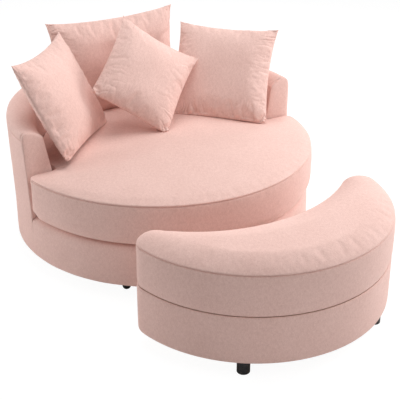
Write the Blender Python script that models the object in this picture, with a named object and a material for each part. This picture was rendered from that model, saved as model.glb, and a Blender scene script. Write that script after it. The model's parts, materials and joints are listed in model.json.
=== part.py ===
"""Swivel accent chair: a round lounge chair with its half-moon storage ottoman and four throw pillows.

Metres, +Z up. The set's front looks along -Y. The origin is on the floor, at the centre of the
set's bounding box. A plan angle is measured from the front, towards +X, in degrees: 0 is the
front, 90 the chair's +X side and 180 its back.
"""

import math

import bmesh
import bpy
from mathutils import Matrix, Vector

# Clearance between pieces that touch, and roundness
GAP = 0.0003
ARC_STEP = 6.0
ARC_POINTS = 15
OTTOMAN_ARC_POINTS = 12
PROFILE_STEP = 15.0
BEARING_STEP = 10.0
SHARP_EDGE = 35.0
LEG_SIDES = 16

# Chair: the drum and the curved arm and back wall
DRUM_RADIUS = 0.640
SKIRT_LIFT = 0.065
COVER_THICKNESS = 0.012
HOOP_THICKNESS = 0.008
LEDGE_HEIGHT = 0.242
LEDGE_ROLL = 0.030
LEDGE_WIDTH = 0.062
ARM_ANGLE = 85.5
ARM_PANEL_THICKNESS = 0.025
WALL_HEIGHT = 0.617
WALL_FLARE = 0.010
WALL_FLARE_LOW = 0.0045
HEM_RISE = 0.006
HEM_ROLL = 0.004
PAD_THICKNESS = 0.047
PAD_ROLL = 0.046
PAD_SWELL = 0.006
SWELL_ABOVE_SEAM = 0.050
SWELL_BELOW_SEAM = 0.030
ROLL_SIDES = 8
ROLL_SQUARENESS = 0.75
ARM_PANEL_DROP = 0.003

# Chair: the timber frame
RAIL_THICKNESS = 0.018
RAIL_WIDTH = 0.044
FLOOR_PANEL_THICKNESS = 0.018
FLOOR_PANEL_HOLE = 0.050
HOOP_RISE = 0.002
DECK_RING_THICKNESS = 0.020
DECK_RING_WIDTH = 0.084
DECK_DROP = 0.017
POST_WIDTH = 0.044
FRONT_POST_ANGLES = (-48.0, 0.0, 48.0)
BACK_POST_ANGLES = (96.0, 138.0, 180.0, 222.0, 264.0)

# Chair: the sinuous springs, their clips and the pad over them
SPRING_COUNT = 5
SPRING_SPACING = 0.160
SPRING_WIRE = 0.004
WIRE_SIDES = 5
LOOP_TURNS = (-67.5, -22.5, 22.5, 67.5)
SPRING_LOOP_WIDTH = 0.052
SPRING_PITCH = 0.056
SPRING_ARCH = 0.008
CLIP_WIDTH = 0.024
CLIP_STEEL = 0.0016
CLIP_REACH = 0.022
CLIP_HALF = 0.0132
CLIP_TONGUE = 0.0055
FELT_THICKNESS = 0.006
FELT_MARGIN = 0.004

# Chair: the base and its ball bearing
FOOT_HEIGHT = 0.060
FOOT_RADIUS = 0.0175
FOOT_WAIST = 0.60
FOOT_BALL_TURNS = (0.45, 0.85, 1.25, 1.65, 2.1)
FOOT_FLANGE = 0.004
FOOT_CIRCLE = 0.554
BEAM_WIDTH = 0.060
BEAM_HEIGHT = 0.030
BEAM_OVERHANG = 0.030
BEAM_CORNER = 0.012
BEAM_CORNER_SIDES = 3
RACE_RADIUS = 0.135
RACE_WIDTH = 0.026
RACE_RISE = 0.007
PLATE_STEEL = 0.003
HUB_HOLE = 0.020
RIM_LIP = 0.010
RIM_STEEL = 0.0021
RIM_SIDE_CLEARANCE = 0.002
RIM_LIP_CLEARANCE = 0.0012
BALL_RADIUS = 0.005
BALL_COUNT = 16
CAGE_WIDTH = 0.014
CAGE_STEEL = 0.002

# Chair: the seat cushion
CUSHION_OVERHANG = 0.012
CUSHION_BOTTOM_SEAM = 0.276
CUSHION_TOP_SEAM = 0.420
CUSHION_CROWN = 0.056
CUSHION_CROWN_POWER = 3.2
CUSHION_CROWN_SHARES = (0.96, 0.88, 0.74, 0.54, 0.28)
CUSHION_SEAM_INSET = 0.006
CUSHION_LOW_SEAM_INSET = 0.004
CUSHION_BAND_INSET = 0.001
CUSHION_TUCK = 0.030
CUSHION_WALL_GAP = 0.003
EAR_CORNER = 0.032
EAR_NOTCH = 0.020
EAR_SIDES = 4
NOTCH_SIDES = 3

# Throw pillows: width, height and thickness of each size
LARGE_PILLOW = (0.602, 0.442, 0.150)
MEDIUM_PILLOW = (0.444, 0.441, 0.135)
SMALL_PILLOW = (0.378, 0.414, 0.135)
PILLOW_DRAW_IN = 0.075
PILLOW_FULLNESS = 0.42
PILLOW_GRID = 12

# Each pillow's place: its size, the plan angle it stands at, how far its middle is from the wall,
# the plan angle it faces, its lean back, its turn in its own plane and how far it lifts or sinks
PILLOW_PLACES = {
    "pillow_left": (MEDIUM_PILLOW, -108.0, 0.1182, 41.3, 27.6, -1.3, -0.0146),
    "pillow_back": (LARGE_PILLOW, 180.0, 0.118, -4.4, 8.6, -1.3, -0.0422),
    "pillow_front": (SMALL_PILLOW, 188.7, 0.4295, 2.6, 39.2, 43.1, -0.0096),
    "pillow_right": (MEDIUM_PILLOW, 102.4, 0.1474, -38.8, 37.3, 3.1, -0.0199),
}

# Ottoman: it stands in front of the chair, turned a little about the centre of its outer arc
OTTOMAN_DEPTH = 0.364
OTTOMAN_GAP = 0.2365
OTTOMAN_OUTER_RADIUS = 0.534
OTTOMAN_TIP = 0.0735
OTTOMAN_TIP_SIDES = 8
OTTOMAN_TIP_SMALLEST = 0.006
OTTOMAN_TURN = -1.5
OTTOMAN_SHIFT = -0.008
OTTOMAN_LIFT = 0.064
TUB_HEIGHT = 0.254
TUB_BOARD = 0.012
TUB_FLOOR = 0.009
LID_BOARD = 0.012
LID_CLEAT_HEIGHT = 0.014
LID_CLEAT_WIDTH = 0.020
LID_CLEAT_CLEARANCE = 0.004
LID_CLEAT_ANGLE = 50.0
LID_TOP_SEAM = 0.4135
LID_CROWN = 0.040
LID_CROWN_STEPS = ((0.020, 0.50), (0.045, 0.82), (0.080, 0.97))
LID_EDGE_SOFTNESS = 0.010
OTTOMAN_FOOT_RADIUS = 0.024
OTTOMAN_FOOT_EDGE = 0.0025

# Each ottoman foot's plan angle about its arc's centre, and how far in from that arc it stands
OTTOMAN_FRONT_FEET = {"front_left": (-35.5, 0.047), "front_right": (39.3, 0.037)}
OTTOMAN_BACK_FEET = {"back_left": (-25.0, 0.050), "back_right": (25.0, 0.050)}

# Radii of the chair's shells, from the outside in
HOOP_OUTER = DRUM_RADIUS - COVER_THICKNESS + GAP
HOOP_INNER = HOOP_OUTER - HOOP_THICKNESS
FRAME_OUTER = HOOP_INNER - GAP
FRAME_INNER = FRAME_OUTER - RAIL_WIDTH
WALL_OUTER = DRUM_RADIUS + WALL_FLARE
WALL_INNER = FRAME_INNER - PAD_THICKNESS

# Heights of the chair's base, bearing and frame, from the floor up
BEAM_BOTTOM = FOOT_HEIGHT + GAP
BEAM_TOP = BEAM_BOTTOM + BEAM_HEIGHT
LOWER_PLATE_BOTTOM = BEAM_TOP + GAP
RACE_TOP = LOWER_PLATE_BOTTOM + RACE_RISE + PLATE_STEEL
BALL_CENTRE = RACE_TOP + GAP + BALL_RADIUS
UPPER_PLATE_BOTTOM = BALL_CENTRE + BALL_RADIUS + GAP
UPPER_PLATE_TOP = UPPER_PLATE_BOTTOM + PLATE_STEEL
PANEL_BOTTOM = UPPER_PLATE_TOP + GAP
PANEL_TOP = PANEL_BOTTOM + FLOOR_PANEL_THICKNESS
DECK_TOP = LEDGE_HEIGHT - DECK_DROP
DECK_BOTTOM = DECK_TOP - DECK_RING_THICKNESS
PAD_UNDERSIDE = WALL_HEIGHT - PAD_ROLL
TOP_RAIL_TOP = PAD_UNDERSIDE - GAP
TOP_RAIL_BOTTOM = TOP_RAIL_TOP - RAIL_THICKNESS
SPRING_SEAT = DECK_TOP + CLIP_STEEL + 2 * GAP + SPRING_WIRE / 2
FELT_BOTTOM = SPRING_SEAT + SPRING_ARCH + SPRING_WIRE / 2 + GAP
CUSHION_BOTTOM = max(FELT_BOTTOM + FELT_THICKNESS, LEDGE_HEIGHT) + GAP

# Plan of the ottoman, in the chair's frame, and the places of the chair and the set
OTTOMAN_INNER_RADIUS = DRUM_RADIUS + CUSHION_OVERHANG
OTTOMAN_NEAR = -(DRUM_RADIUS + OTTOMAN_GAP)
OTTOMAN_FAR = OTTOMAN_NEAR - OTTOMAN_DEPTH
INNER_CENTRE_Y = OTTOMAN_NEAR + OTTOMAN_INNER_RADIUS
OUTER_CENTRE_Y = OTTOMAN_FAR + OTTOMAN_OUTER_RADIUS
CHAIR_Y = (-OTTOMAN_FAR - WALL_OUTER) / 2
LID_BOTTOM = TUB_HEIGHT + GAP
LID_BOARD_TOP = LID_BOTTOM + LID_BOARD
LID_CUSHION_BOTTOM = LID_BOARD_TOP + GAP


# Objects and materials


def clear_scene():
    for old in list(bpy.data.objects):
        bpy.data.objects.remove(old, do_unlink=True)


def finish_material(name, colour, roughness, metallic=0.0):
    made = bpy.data.materials.new(name)
    made.use_nodes = True
    shader = made.node_tree.nodes["Principled BSDF"]
    shader.inputs["Base Color"].default_value = (*colour, 1.0)
    shader.inputs["Roughness"].default_value = roughness
    shader.inputs["Metallic"].default_value = metallic
    return made


def axis_empty(name, place):
    empty = bpy.data.objects.new(name, None)
    empty.location = place
    bpy.context.collection.objects.link(empty)
    return empty


def solid(name, mesh_work, material, parent=None):
    """Turns a bmesh into a named object, with its normals outwards and its round faces smooth."""
    bmesh.ops.remove_doubles(mesh_work, verts=mesh_work.verts, dist=1e-6)
    bmesh.ops.recalc_face_normals(mesh_work, faces=mesh_work.faces)
    if mesh_work.calc_volume(signed=True) < 0:
        bmesh.ops.reverse_faces(mesh_work, faces=mesh_work.faces)
    mesh = bpy.data.meshes.new(name)
    mesh_work.to_mesh(mesh)
    mesh_work.free()
    mesh.materials.append(material)
    mesh.shade_smooth()
    mesh.set_sharp_from_angle(angle=math.radians(SHARP_EDGE))
    made = bpy.data.objects.new(name, mesh)
    bpy.context.collection.objects.link(made)
    made.parent = parent
    return made


# Shapes


def polar(radius, angle, z=0.0):
    """The point at a radius and a plan angle from the front."""
    turn = math.radians(angle)
    return Vector((radius * math.sin(turn), -radius * math.cos(turn), z))


def facet_polar(radius, angle, z, step):
    """The point at a plan angle on the many-sided ring that stands for a circle of this radius."""
    off_middle = (angle % step) - step / 2
    return polar(radius * math.cos(math.radians(step / 2)) / math.cos(math.radians(off_middle)), angle, z)


def swept(profile, start, end, step=ARC_STEP):
    """A closed profile of (radius, height) points carried round the vertical axis.

    Its corners lie at whole steps, so that shells nested in each other keep an even gap.
    """
    start, end = min(start, end), max(start, end)
    full = end - start >= 360.0
    angles = [step * i for i in range(math.floor(start / step) + 1, math.ceil(end / step))]
    angles = [start] + angles + ([] if full else [end])
    work = bmesh.new()
    stations = []
    for angle in angles:
        stations.append([work.verts.new(facet_polar(r, angle, z, step)) for r, z in profile])
    spans = zip(stations, stations[1:] + stations[:1] if full else stations[1:])
    for here, there in spans:
        for i in range(len(profile)):
            j = (i + 1) % len(profile)
            work.faces.new((here[i], here[j], there[j], there[i]))
    if not full:
        work.faces.new(stations[0])
        work.faces.new(list(reversed(stations[-1])))
    return work


def turned(profile, segments):
    """A solid of revolution whose profile of (radius, height) points starts and ends on the axis."""
    work = bmesh.new()
    low = work.verts.new((0, 0, profile[0][1]))
    high = work.verts.new((0, 0, profile[-1][1]))
    rings = []
    for r, z in profile[1:-1]:
        rings.append([work.verts.new(polar(r, 360.0 * i / segments, z)) for i in range(segments)])
    for i in range(segments):
        j = (i + 1) % segments
        work.faces.new((low, rings[0][i], rings[0][j]))
        work.faces.new((high, rings[-1][j], rings[-1][i]))
        for below, above in zip(rings, rings[1:]):
            work.faces.new((below[i], above[i], above[j], below[j]))
    return work


def stacked(layers, top=None):
    """A closed solid through rings of equal count, each a list of points, with flat or domed ends."""
    work = bmesh.new()
    rings = [[work.verts.new(point) for point in layer] for layer in layers]
    count = len(rings[0])
    for below, above in zip(rings, rings[1:]):
        for i in range(count):
            j = (i + 1) % count
            work.faces.new((below[i], below[j], above[j], above[i]))
    work.faces.new(list(reversed(rings[0])))
    if top is None:
        work.faces.new(rings[-1])
    else:
        tip = work.verts.new(top)
        for i in range(count):
            work.faces.new((rings[-1][i], rings[-1][(i + 1) % count], tip))
    return work


def walled(outside, inside, bottom, top):
    """An upright wall between two plan outlines of equal count."""
    work = bmesh.new()
    loops = []
    for outline, z in ((outside, bottom), (outside, top), (inside, top), (inside, bottom)):
        loops.append([work.verts.new((x, y, z)) for x, y in outline])
    count = len(outside)
    for here, there in zip(loops, loops[1:] + loops[:1]):
        for i in range(count):
            j = (i + 1) % count
            work.faces.new((here[i], here[j], there[j], there[i]))
    return work


def slab(outline, bottom, top):
    """A flat panel with a plan outline."""
    return stacked([[(x, y, z) for x, y in outline] for z in (bottom, top)])


def quarter(centre, radius, start, end, step=PROFILE_STEP):
    """Points of an arc in a (radius, height) profile, from one angle to another, in degrees."""
    count = max(2, round(abs(end - start) / step))
    points = []
    for i in range(count + 1):
        turn = math.radians(start + (end - start) * i / count)
        points.append((centre[0] + radius * math.cos(turn), centre[1] + radius * math.sin(turn)))
    return points


def plan_arc(centre_y, radius, start, end, count):
    """Plan points of an arc about a centre on the set's middle line."""
    points = []
    for i in range(count + 1):
        place = polar(radius, start + (end - start) * i / count)
        points.append((place.x, place.y + centre_y))
    return points


def mirrored(half):
    """A closed outline from its +X half, which starts and ends on the middle line."""
    return half + [(-x, y) for x, y in reversed(half[1:-1])]


# Base and ball bearing


def base_foot(name, angle, material):
    """A turned glide: a ball that rolls on the floor, a waist and a flange under the beam."""
    ball = [(FOOT_RADIUS * math.sin(a), FOOT_RADIUS * (1 - math.cos(a))) for a in FOOT_BALL_TURNS]
    waist = FOOT_RADIUS * FOOT_WAIST
    profile = [(0.0, 0.0), *ball]
    profile += [
        (waist, ball[-1][1] + FOOT_RADIUS / 4),
        (waist, FOOT_HEIGHT - 2 * FOOT_FLANGE),
        (FOOT_RADIUS, FOOT_HEIGHT - FOOT_FLANGE),
        (FOOT_RADIUS, FOOT_HEIGHT),
        (0.0, FOOT_HEIGHT),
    ]
    foot = solid(name, turned(profile, LEG_SIDES), material)
    foot.location = polar(FOOT_CIRCLE, angle) + Vector((0, CHAIR_Y, 0))


def base_beam(name, angle, low_half_cut, material):
    """One beam of the cross, half lapped at the middle."""
    end = FOOT_CIRCLE + BEAM_OVERHANG
    half = BEAM_WIDTH / 2
    lap = half + GAP
    middle = BEAM_BOTTOM + BEAM_HEIGHT / 2
    if low_half_cut:
        cut, back = BEAM_BOTTOM, middle + GAP / 2
        side = [(-end, BEAM_TOP), (end, BEAM_TOP), (end, BEAM_BOTTOM), (lap, cut), (lap, back), (-lap, back)]
        side += [(-lap, cut), (-end, BEAM_BOTTOM)]
    else:
        cut, back = BEAM_TOP, middle - GAP / 2
        side = [(-end, BEAM_BOTTOM), (end, BEAM_BOTTOM), (end, BEAM_TOP), (lap, cut), (lap, back), (-lap, back)]
        side += [(-lap, cut), (-end, BEAM_TOP)]
    work = bmesh.new()
    sides = []
    for y in (-half, half):
        sides.append([work.verts.new((x, y, z)) for x, z in side])
    for i in range(len(side)):
        j = (i + 1) % len(side)
        work.faces.new((sides[0][i], sides[0][j], sides[1][j], sides[1][i]))
    work.faces.new(sides[0])
    work.faces.new(list(reversed(sides[1])))
    uprights = [
        edge
        for edge in work.edges
        if abs(edge.verts[0].co.x) > end - BEAM_CORNER
        and (edge.verts[0].co - edge.verts[1].co).xy.length < 1e-6
    ]
    bmesh.ops.bevel(work, geom=uprights, offset=BEAM_CORNER, segments=BEAM_CORNER_SIDES, profile=0.5, affect="EDGES")
    beam = solid(name, work, material)
    beam.location = (0, CHAIR_Y, 0)
    beam.rotation_euler = (0, 0, math.radians(angle))


def bearing_lower_plate(material):
    """A pressed pan: its middle sits on the beams and its rim rises to carry the balls."""
    inner, outer = RACE_RADIUS - RACE_WIDTH / 2, RACE_RADIUS + RACE_WIDTH / 2
    low, high = LOWER_PLATE_BOTTOM, LOWER_PLATE_BOTTOM + RACE_RISE
    profile = [
        (HUB_HOLE, low),
        (inner - RACE_RISE, low),
        (inner, high),
        (outer, high),
        (outer, high + PLATE_STEEL),
        (inner - PLATE_STEEL / 2, high + PLATE_STEEL),
        (inner - RACE_RISE - PLATE_STEEL / 2, low + PLATE_STEEL),
        (HUB_HOLE, low + PLATE_STEEL),
    ]
    plate = solid("swivel_lower_plate", swept(profile, 0, 360, BEARING_STEP), material)
    plate.location = (0, CHAIR_Y, 0)


def bearing_upper_plate(material, parent):
    """A turned pan over the balls, with a rolled lip that catches under the lower race."""
    race_edge = RACE_RADIUS + RACE_WIDTH / 2
    skirt_inner = race_edge + RIM_SIDE_CLEARANCE
    skirt_outer = skirt_inner + RIM_STEEL
    lip_top = LOWER_PLATE_BOTTOM + RACE_RISE - RIM_LIP_CLEARANCE
    lip_bottom = lip_top - RIM_STEEL
    profile = [
        (HUB_HOLE, UPPER_PLATE_BOTTOM),
        (skirt_inner, UPPER_PLATE_BOTTOM),
        (skirt_inner, lip_top),
        (skirt_outer - RIM_LIP, lip_top),
        (skirt_outer - RIM_LIP, lip_bottom),
        (skirt_outer, lip_bottom),
        (skirt_outer, UPPER_PLATE_TOP),
        (HUB_HOLE, UPPER_PLATE_TOP),
    ]
    solid("swivel_upper_plate", swept(profile, 0, 360, BEARING_STEP), material, parent)


def bearing_balls(material, parent):
    """The ring of balls in its flat cage: one turned ring with the balls joined to it."""
    half, thin = CAGE_WIDTH / 2, CAGE_STEEL / 2
    profile = [
        (RACE_RADIUS - half, BALL_CENTRE - thin),
        (RACE_RADIUS + half, BALL_CENTRE - thin),
        (RACE_RADIUS + half, BALL_CENTRE + thin),
        (RACE_RADIUS - half, BALL_CENTRE + thin),
    ]
    ring = solid("swivel_ball_cage", swept(profile, 0, 360, BEARING_STEP), material, parent)
    work = bmesh.new()
    for i in range(BALL_COUNT):
        place = Matrix.Translation(polar(RACE_RADIUS, 360.0 * i / BALL_COUNT, BALL_CENTRE))
        bmesh.ops.create_uvsphere(work, u_segments=8, v_segments=5, radius=BALL_RADIUS, matrix=place)
    balls = solid("ball_cutter", work, material, parent)
    balls.hide_render = True
    balls.display_type = "WIRE"
    join = ring.modifiers.new("balls", "BOOLEAN")
    join.operation = "UNION"
    join.object = balls


# Drum and wall frame


def floor_panel(material, parent):
    profile = [
        (FLOOR_PANEL_HOLE, PANEL_BOTTOM),
        (FRAME_OUTER, PANEL_BOTTOM),
        (FRAME_OUTER, PANEL_TOP),
        (FLOOR_PANEL_HOLE, PANEL_TOP),
    ]
    solid("drum_floor_panel", swept(profile, 0, 360), material, parent)


def drum_hoop(material, parent):
    low, high = SKIRT_LIFT + HOOP_RISE, DECK_TOP - GAP
    profile = [(HOOP_INNER, low), (HOOP_OUTER - GAP, low), (HOOP_OUTER - GAP, high), (HOOP_INNER, high)]
    solid("drum_hoop", swept(profile, 0, 360), material, parent)


def deck_ring(material, parent):
    outer = FRAME_INNER - GAP
    inner = outer - DECK_RING_WIDTH
    profile = [(inner, DECK_BOTTOM), (outer, DECK_BOTTOM), (outer, DECK_TOP), (inner, DECK_TOP)]
    solid("seat_deck_ring", swept(profile, 0, 360), material, parent)


def frame_post(name, angle, top, material, parent):
    half = math.degrees(POST_WIDTH / 2 / FRAME_OUTER)
    low = PANEL_TOP + GAP
    profile = [(FRAME_INNER, low), (FRAME_OUTER, low), (FRAME_OUTER, top), (FRAME_INNER, top)]
    solid(name, swept(profile, angle - half, angle + half), material, parent)


def gap_angle(radius):
    """The plan angle that leaves the standard clearance at a radius."""
    return math.degrees(GAP / radius)


def wall_start():
    """The plan angle at which the wall's frame and pads begin, behind the arm's front panel."""
    return ARM_ANGLE + math.degrees(ARM_PANEL_THICKNESS / WALL_OUTER) + 2 * gap_angle(WALL_INNER)


def top_rail(material, parent):
    profile = [
        (FRAME_INNER, TOP_RAIL_BOTTOM),
        (FRAME_OUTER, TOP_RAIL_BOTTOM),
        (FRAME_OUTER, TOP_RAIL_TOP),
        (FRAME_INNER, TOP_RAIL_TOP),
    ]
    solid("back_top_rail", swept(profile, wall_start(), 360 - wall_start()), material, parent)


def back_board(material, parent):
    low, high = DECK_TOP, PAD_UNDERSIDE - GAP
    outer = HOOP_OUTER - GAP
    profile = [(HOOP_INNER, low), (outer, low), (outer, high), (HOOP_INNER, high)]
    solid("back_outer_board", swept(profile, wall_start(), 360 - wall_start()), material, parent)


# Springs


def spring_path(x_place):
    """Points of one zig-zag spring, front clip to back clip, arched up at its middle."""
    deck_inner = FRAME_INNER - GAP - DECK_RING_WIDTH
    reach = math.sqrt(deck_inner**2 - x_place**2) + CLIP_REACH / 2
    runs = 2 * round(reach / SPRING_PITCH) + 1
    pitch = 2 * reach / runs
    half = SPRING_LOOP_WIDTH / 2
    bend = pitch / 2
    points = []
    for i in range(runs + 1):
        side = 1 if i % 2 else -1
        y = -reach + i * pitch
        start = (x_place, y) if i == 0 else (x_place + side * (bend - half), y)
        points.append(start)
        if i == runs:
            points[-1] = (x_place, y)
            break
        if i > 0:
            points.pop()
        for turn in LOOP_TURNS:
            angle = math.radians(turn)
            points.append(
                (
                    x_place + side * (half - bend + bend * math.cos(angle)),
                    y + bend + bend * math.sin(angle),
                )
            )
    arched = []
    for x, y in points:
        lift = SPRING_ARCH * (1 - (y / reach) ** 2)
        arched.append(Vector((x, y, SPRING_SEAT + lift)))
    return arched


def wire_along(points, radius, sides):
    """A closed tube of even section along points that lie near a horizontal plane."""
    work = bmesh.new()
    rings = []
    for i, point in enumerate(points):
        ahead = points[min(i + 1, len(points) - 1)]
        behind = points[max(i - 1, 0)]
        run = (ahead - behind).normalized()
        across = run.cross(Vector((0, 0, 1))).normalized()
        upward = across.cross(run)
        ring = []
        for k in range(sides):
            turn = 2 * math.pi * (k + 0.5) / sides
            offset = across * math.cos(turn) + upward * math.sin(turn)
            ring.append(work.verts.new(point + offset * radius))
        rings.append(ring)
    for here, there in zip(rings, rings[1:]):
        for k in range(sides):
            j = (k + 1) % sides
            work.faces.new((here[k], here[j], there[j], there[k]))
    work.faces.new(list(reversed(rings[0])))
    work.faces.new(rings[-1])
    return work


def spring_clip(name, end, inward, material, parent):
    """A bent steel clip: a foot on the deck ring and a tongue folded back over the wire's end."""
    wire = SPRING_WIRE + 2 * GAP
    foot = DECK_TOP + GAP
    side = [
        (CLIP_HALF, foot),
        (-CLIP_HALF, foot),
        (-CLIP_HALF, foot + wire + 2 * CLIP_STEEL),
        (CLIP_TONGUE, foot + wire + 2 * CLIP_STEEL),
        (CLIP_TONGUE, foot + wire + CLIP_STEEL),
        (-CLIP_HALF + CLIP_STEEL, foot + wire + CLIP_STEEL),
        (-CLIP_HALF + CLIP_STEEL, foot + CLIP_STEEL),
        (CLIP_HALF, foot + CLIP_STEEL),
    ]
    work = bmesh.new()
    ends = []
    for x in (-CLIP_WIDTH / 2, CLIP_WIDTH / 2):
        ends.append([work.verts.new((end.x + x, end.y + inward * y, z)) for y, z in side])
    for i in range(len(side)):
        j = (i + 1) % len(side)
        work.faces.new((ends[0][i], ends[0][j], ends[1][j], ends[1][i]))
    work.faces.new(ends[0])
    work.faces.new(list(reversed(ends[1])))
    solid(name, work, material, parent)


def seat_springs(wire, clip, parent):
    for i in range(SPRING_COUNT):
        x_place = (i - (SPRING_COUNT - 1) / 2) * SPRING_SPACING
        points = spring_path(x_place)
        solid(f"seat_spring_{i + 1}", wire_along(points, SPRING_WIRE / 2, WIRE_SIDES), wire, parent)
        spring_clip(f"spring_clip_front_{i + 1}", points[0], 1, clip, parent)
        spring_clip(f"spring_clip_back_{i + 1}", points[-1], -1, clip, parent)


def felt_pad(material, parent):
    outline = plan_arc(0, WALL_INNER - FELT_MARGIN, 0, 360, 4 * ARC_POINTS)[:-1]
    solid("spring_felt_pad", slab(outline, FELT_BOTTOM, FELT_BOTTOM + FELT_THICKNESS), material, parent)


# Upholstery


def front_cover(material, parent):
    """The drum's front: a padded skin that rolls over the ledge under the seat cushion."""
    inner = HOOP_OUTER
    flange = DRUM_RADIUS - LEDGE_WIDTH
    under = DECK_TOP + GAP
    profile = [(DRUM_RADIUS - HEM_ROLL, SKIRT_LIFT), (DRUM_RADIUS, SKIRT_LIFT + HEM_RISE)]
    profile += quarter((DRUM_RADIUS - LEDGE_ROLL, LEDGE_HEIGHT - LEDGE_ROLL), LEDGE_ROLL, 0, 90)
    profile += [(flange, LEDGE_HEIGHT), (flange, under), (inner, under), (inner, SKIRT_LIFT)]
    end = ARM_ANGLE - gap_angle(WALL_INNER)
    solid("drum_front_cover", swept(profile, -end, end), material, parent)


def outer_cover(material, parent):
    """The back's outer skin: one drop from the top roll to the drum's hem."""
    high = PAD_UNDERSIDE - GAP
    profile = [
        (DRUM_RADIUS - HEM_ROLL, SKIRT_LIFT),
        (DRUM_RADIUS, SKIRT_LIFT + HEM_RISE),
        (DRUM_RADIUS, LEDGE_HEIGHT),
        (DRUM_RADIUS + WALL_FLARE_LOW, (LEDGE_HEIGHT + high) / 2),
        (WALL_OUTER, high),
        (HOOP_OUTER, high),
        (HOOP_OUTER, SKIRT_LIFT),
    ]
    solid("back_outer_cover", swept(profile, ARM_ANGLE, 360 - ARM_ANGLE), material, parent)


def roll_profile(outer, inner, top, low):
    """The wall's rounded top, from the outer edge over to the inner face."""
    width = (outer - inner) / 2
    middle = (outer + inner) / 2
    rise = top - low
    points = []
    for i in range(ROLL_SIDES + 1):
        turn = math.pi * i / ROLL_SIDES
        across = math.cos(turn)
        flat = math.copysign(abs(across) ** ROLL_SQUARENESS, across)
        points.append((middle + width * flat, low + rise * math.sin(turn) ** ROLL_SQUARENESS))
    return points


def inner_pad(material, parent):
    """The padded inner back and arms, which hook over the top rail."""
    profile = roll_profile(WALL_OUTER, WALL_INNER, WALL_HEIGHT, PAD_UNDERSIDE)
    profile += [
        (WALL_INNER - PAD_SWELL, CUSHION_TOP_SEAM + SWELL_ABOVE_SEAM),
        (WALL_INNER - PAD_SWELL, CUSHION_TOP_SEAM - SWELL_BELOW_SEAM),
        (WALL_INNER, DECK_TOP + GAP),
        (FRAME_INNER - GAP, DECK_TOP + GAP),
        (FRAME_INNER - GAP, PAD_UNDERSIDE),
    ]
    solid("back_inner_pad", swept(profile, wall_start(), 360 - wall_start()), material, parent)


def arm_front_panel(name, side, material, parent):
    """The boxed front of an arm, with an arched top, standing on the drum's ledge."""
    outer = HOOP_OUTER - GAP
    profile = roll_profile(WALL_OUTER, WALL_INNER, WALL_HEIGHT - ARM_PANEL_DROP, PAD_UNDERSIDE)
    profile += [
        (WALL_INNER, DECK_TOP + GAP),
        (outer, DECK_TOP + GAP),
        (outer, PAD_UNDERSIDE),
    ]
    start = ARM_ANGLE
    end = wall_start() - gap_angle(WALL_INNER)
    solid(name, swept(profile, side * start, side * end), material, parent)


def cushion_outline(inset):
    """Plan of the seat cushion: round in front, with ears across the arms' fronts, and narrower behind."""
    front = DRUM_RADIUS + CUSHION_OVERHANG - inset
    rear = WALL_INNER - PAD_SWELL - CUSHION_WALL_GAP - inset
    arm_face = -DRUM_RADIUS * math.cos(math.radians(ARM_ANGLE))
    line = arm_face - CUSHION_WALL_GAP - inset
    corner_y = line - EAR_CORNER
    corner_x = math.sqrt((front - EAR_CORNER) ** 2 - corner_y**2)
    corner_turn = math.degrees(math.atan2(corner_x, -corner_y))
    notch_y = line + EAR_NOTCH
    notch_x = math.sqrt((rear + EAR_NOTCH) ** 2 - notch_y**2)
    notch_turn = math.degrees(math.atan2(notch_x, -notch_y))
    half = plan_arc(0, front, 0, corner_turn, ARC_POINTS)
    for i in range(1, EAR_SIDES + 1):
        turn = math.radians(corner_turn + (180 - corner_turn) * i / EAR_SIDES)
        half.append((corner_x + EAR_CORNER * math.sin(turn), corner_y - EAR_CORNER * math.cos(turn)))
    for i in range(NOTCH_SIDES):
        turn = math.radians((notch_turn - 180) * i / NOTCH_SIDES)
        half.append((notch_x + EAR_NOTCH * math.sin(turn), notch_y - EAR_NOTCH * math.cos(turn)))
    half += plan_arc(0, rear, notch_turn, 180, ARC_POINTS)
    return mirrored(half)


def seat_cushion(material, parent):
    """A boxed cushion: a tucked underside, a band between two seams, and a crowned top."""
    low, high = CUSHION_BOTTOM_SEAM, CUSHION_TOP_SEAM
    band = [
        (CUSHION_BOTTOM, CUSHION_TUCK),
        (CUSHION_BOTTOM + 0.3 * (low - CUSHION_BOTTOM), 0.4 * CUSHION_TUCK),
        (low, CUSHION_LOW_SEAM_INSET),
        (low + 0.25 * (high - low), CUSHION_BAND_INSET),
        (low + 0.75 * (high - low), CUSHION_BAND_INSET),
        (high, CUSHION_SEAM_INSET),
    ]
    layers = [[(x, y, z) for x, y in cushion_outline(inset)] for z, inset in band]
    edge = cushion_outline(CUSHION_SEAM_INSET)
    for share in CUSHION_CROWN_SHARES:
        z = high + CUSHION_CROWN * (1 - share**CUSHION_CROWN_POWER)
        layers.append([(x * share, y * share, z) for x, y in edge])
    solid("seat_cushion", stacked(layers, (0, 0, high + CUSHION_CROWN)), material, parent)


# Throw pillows


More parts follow.
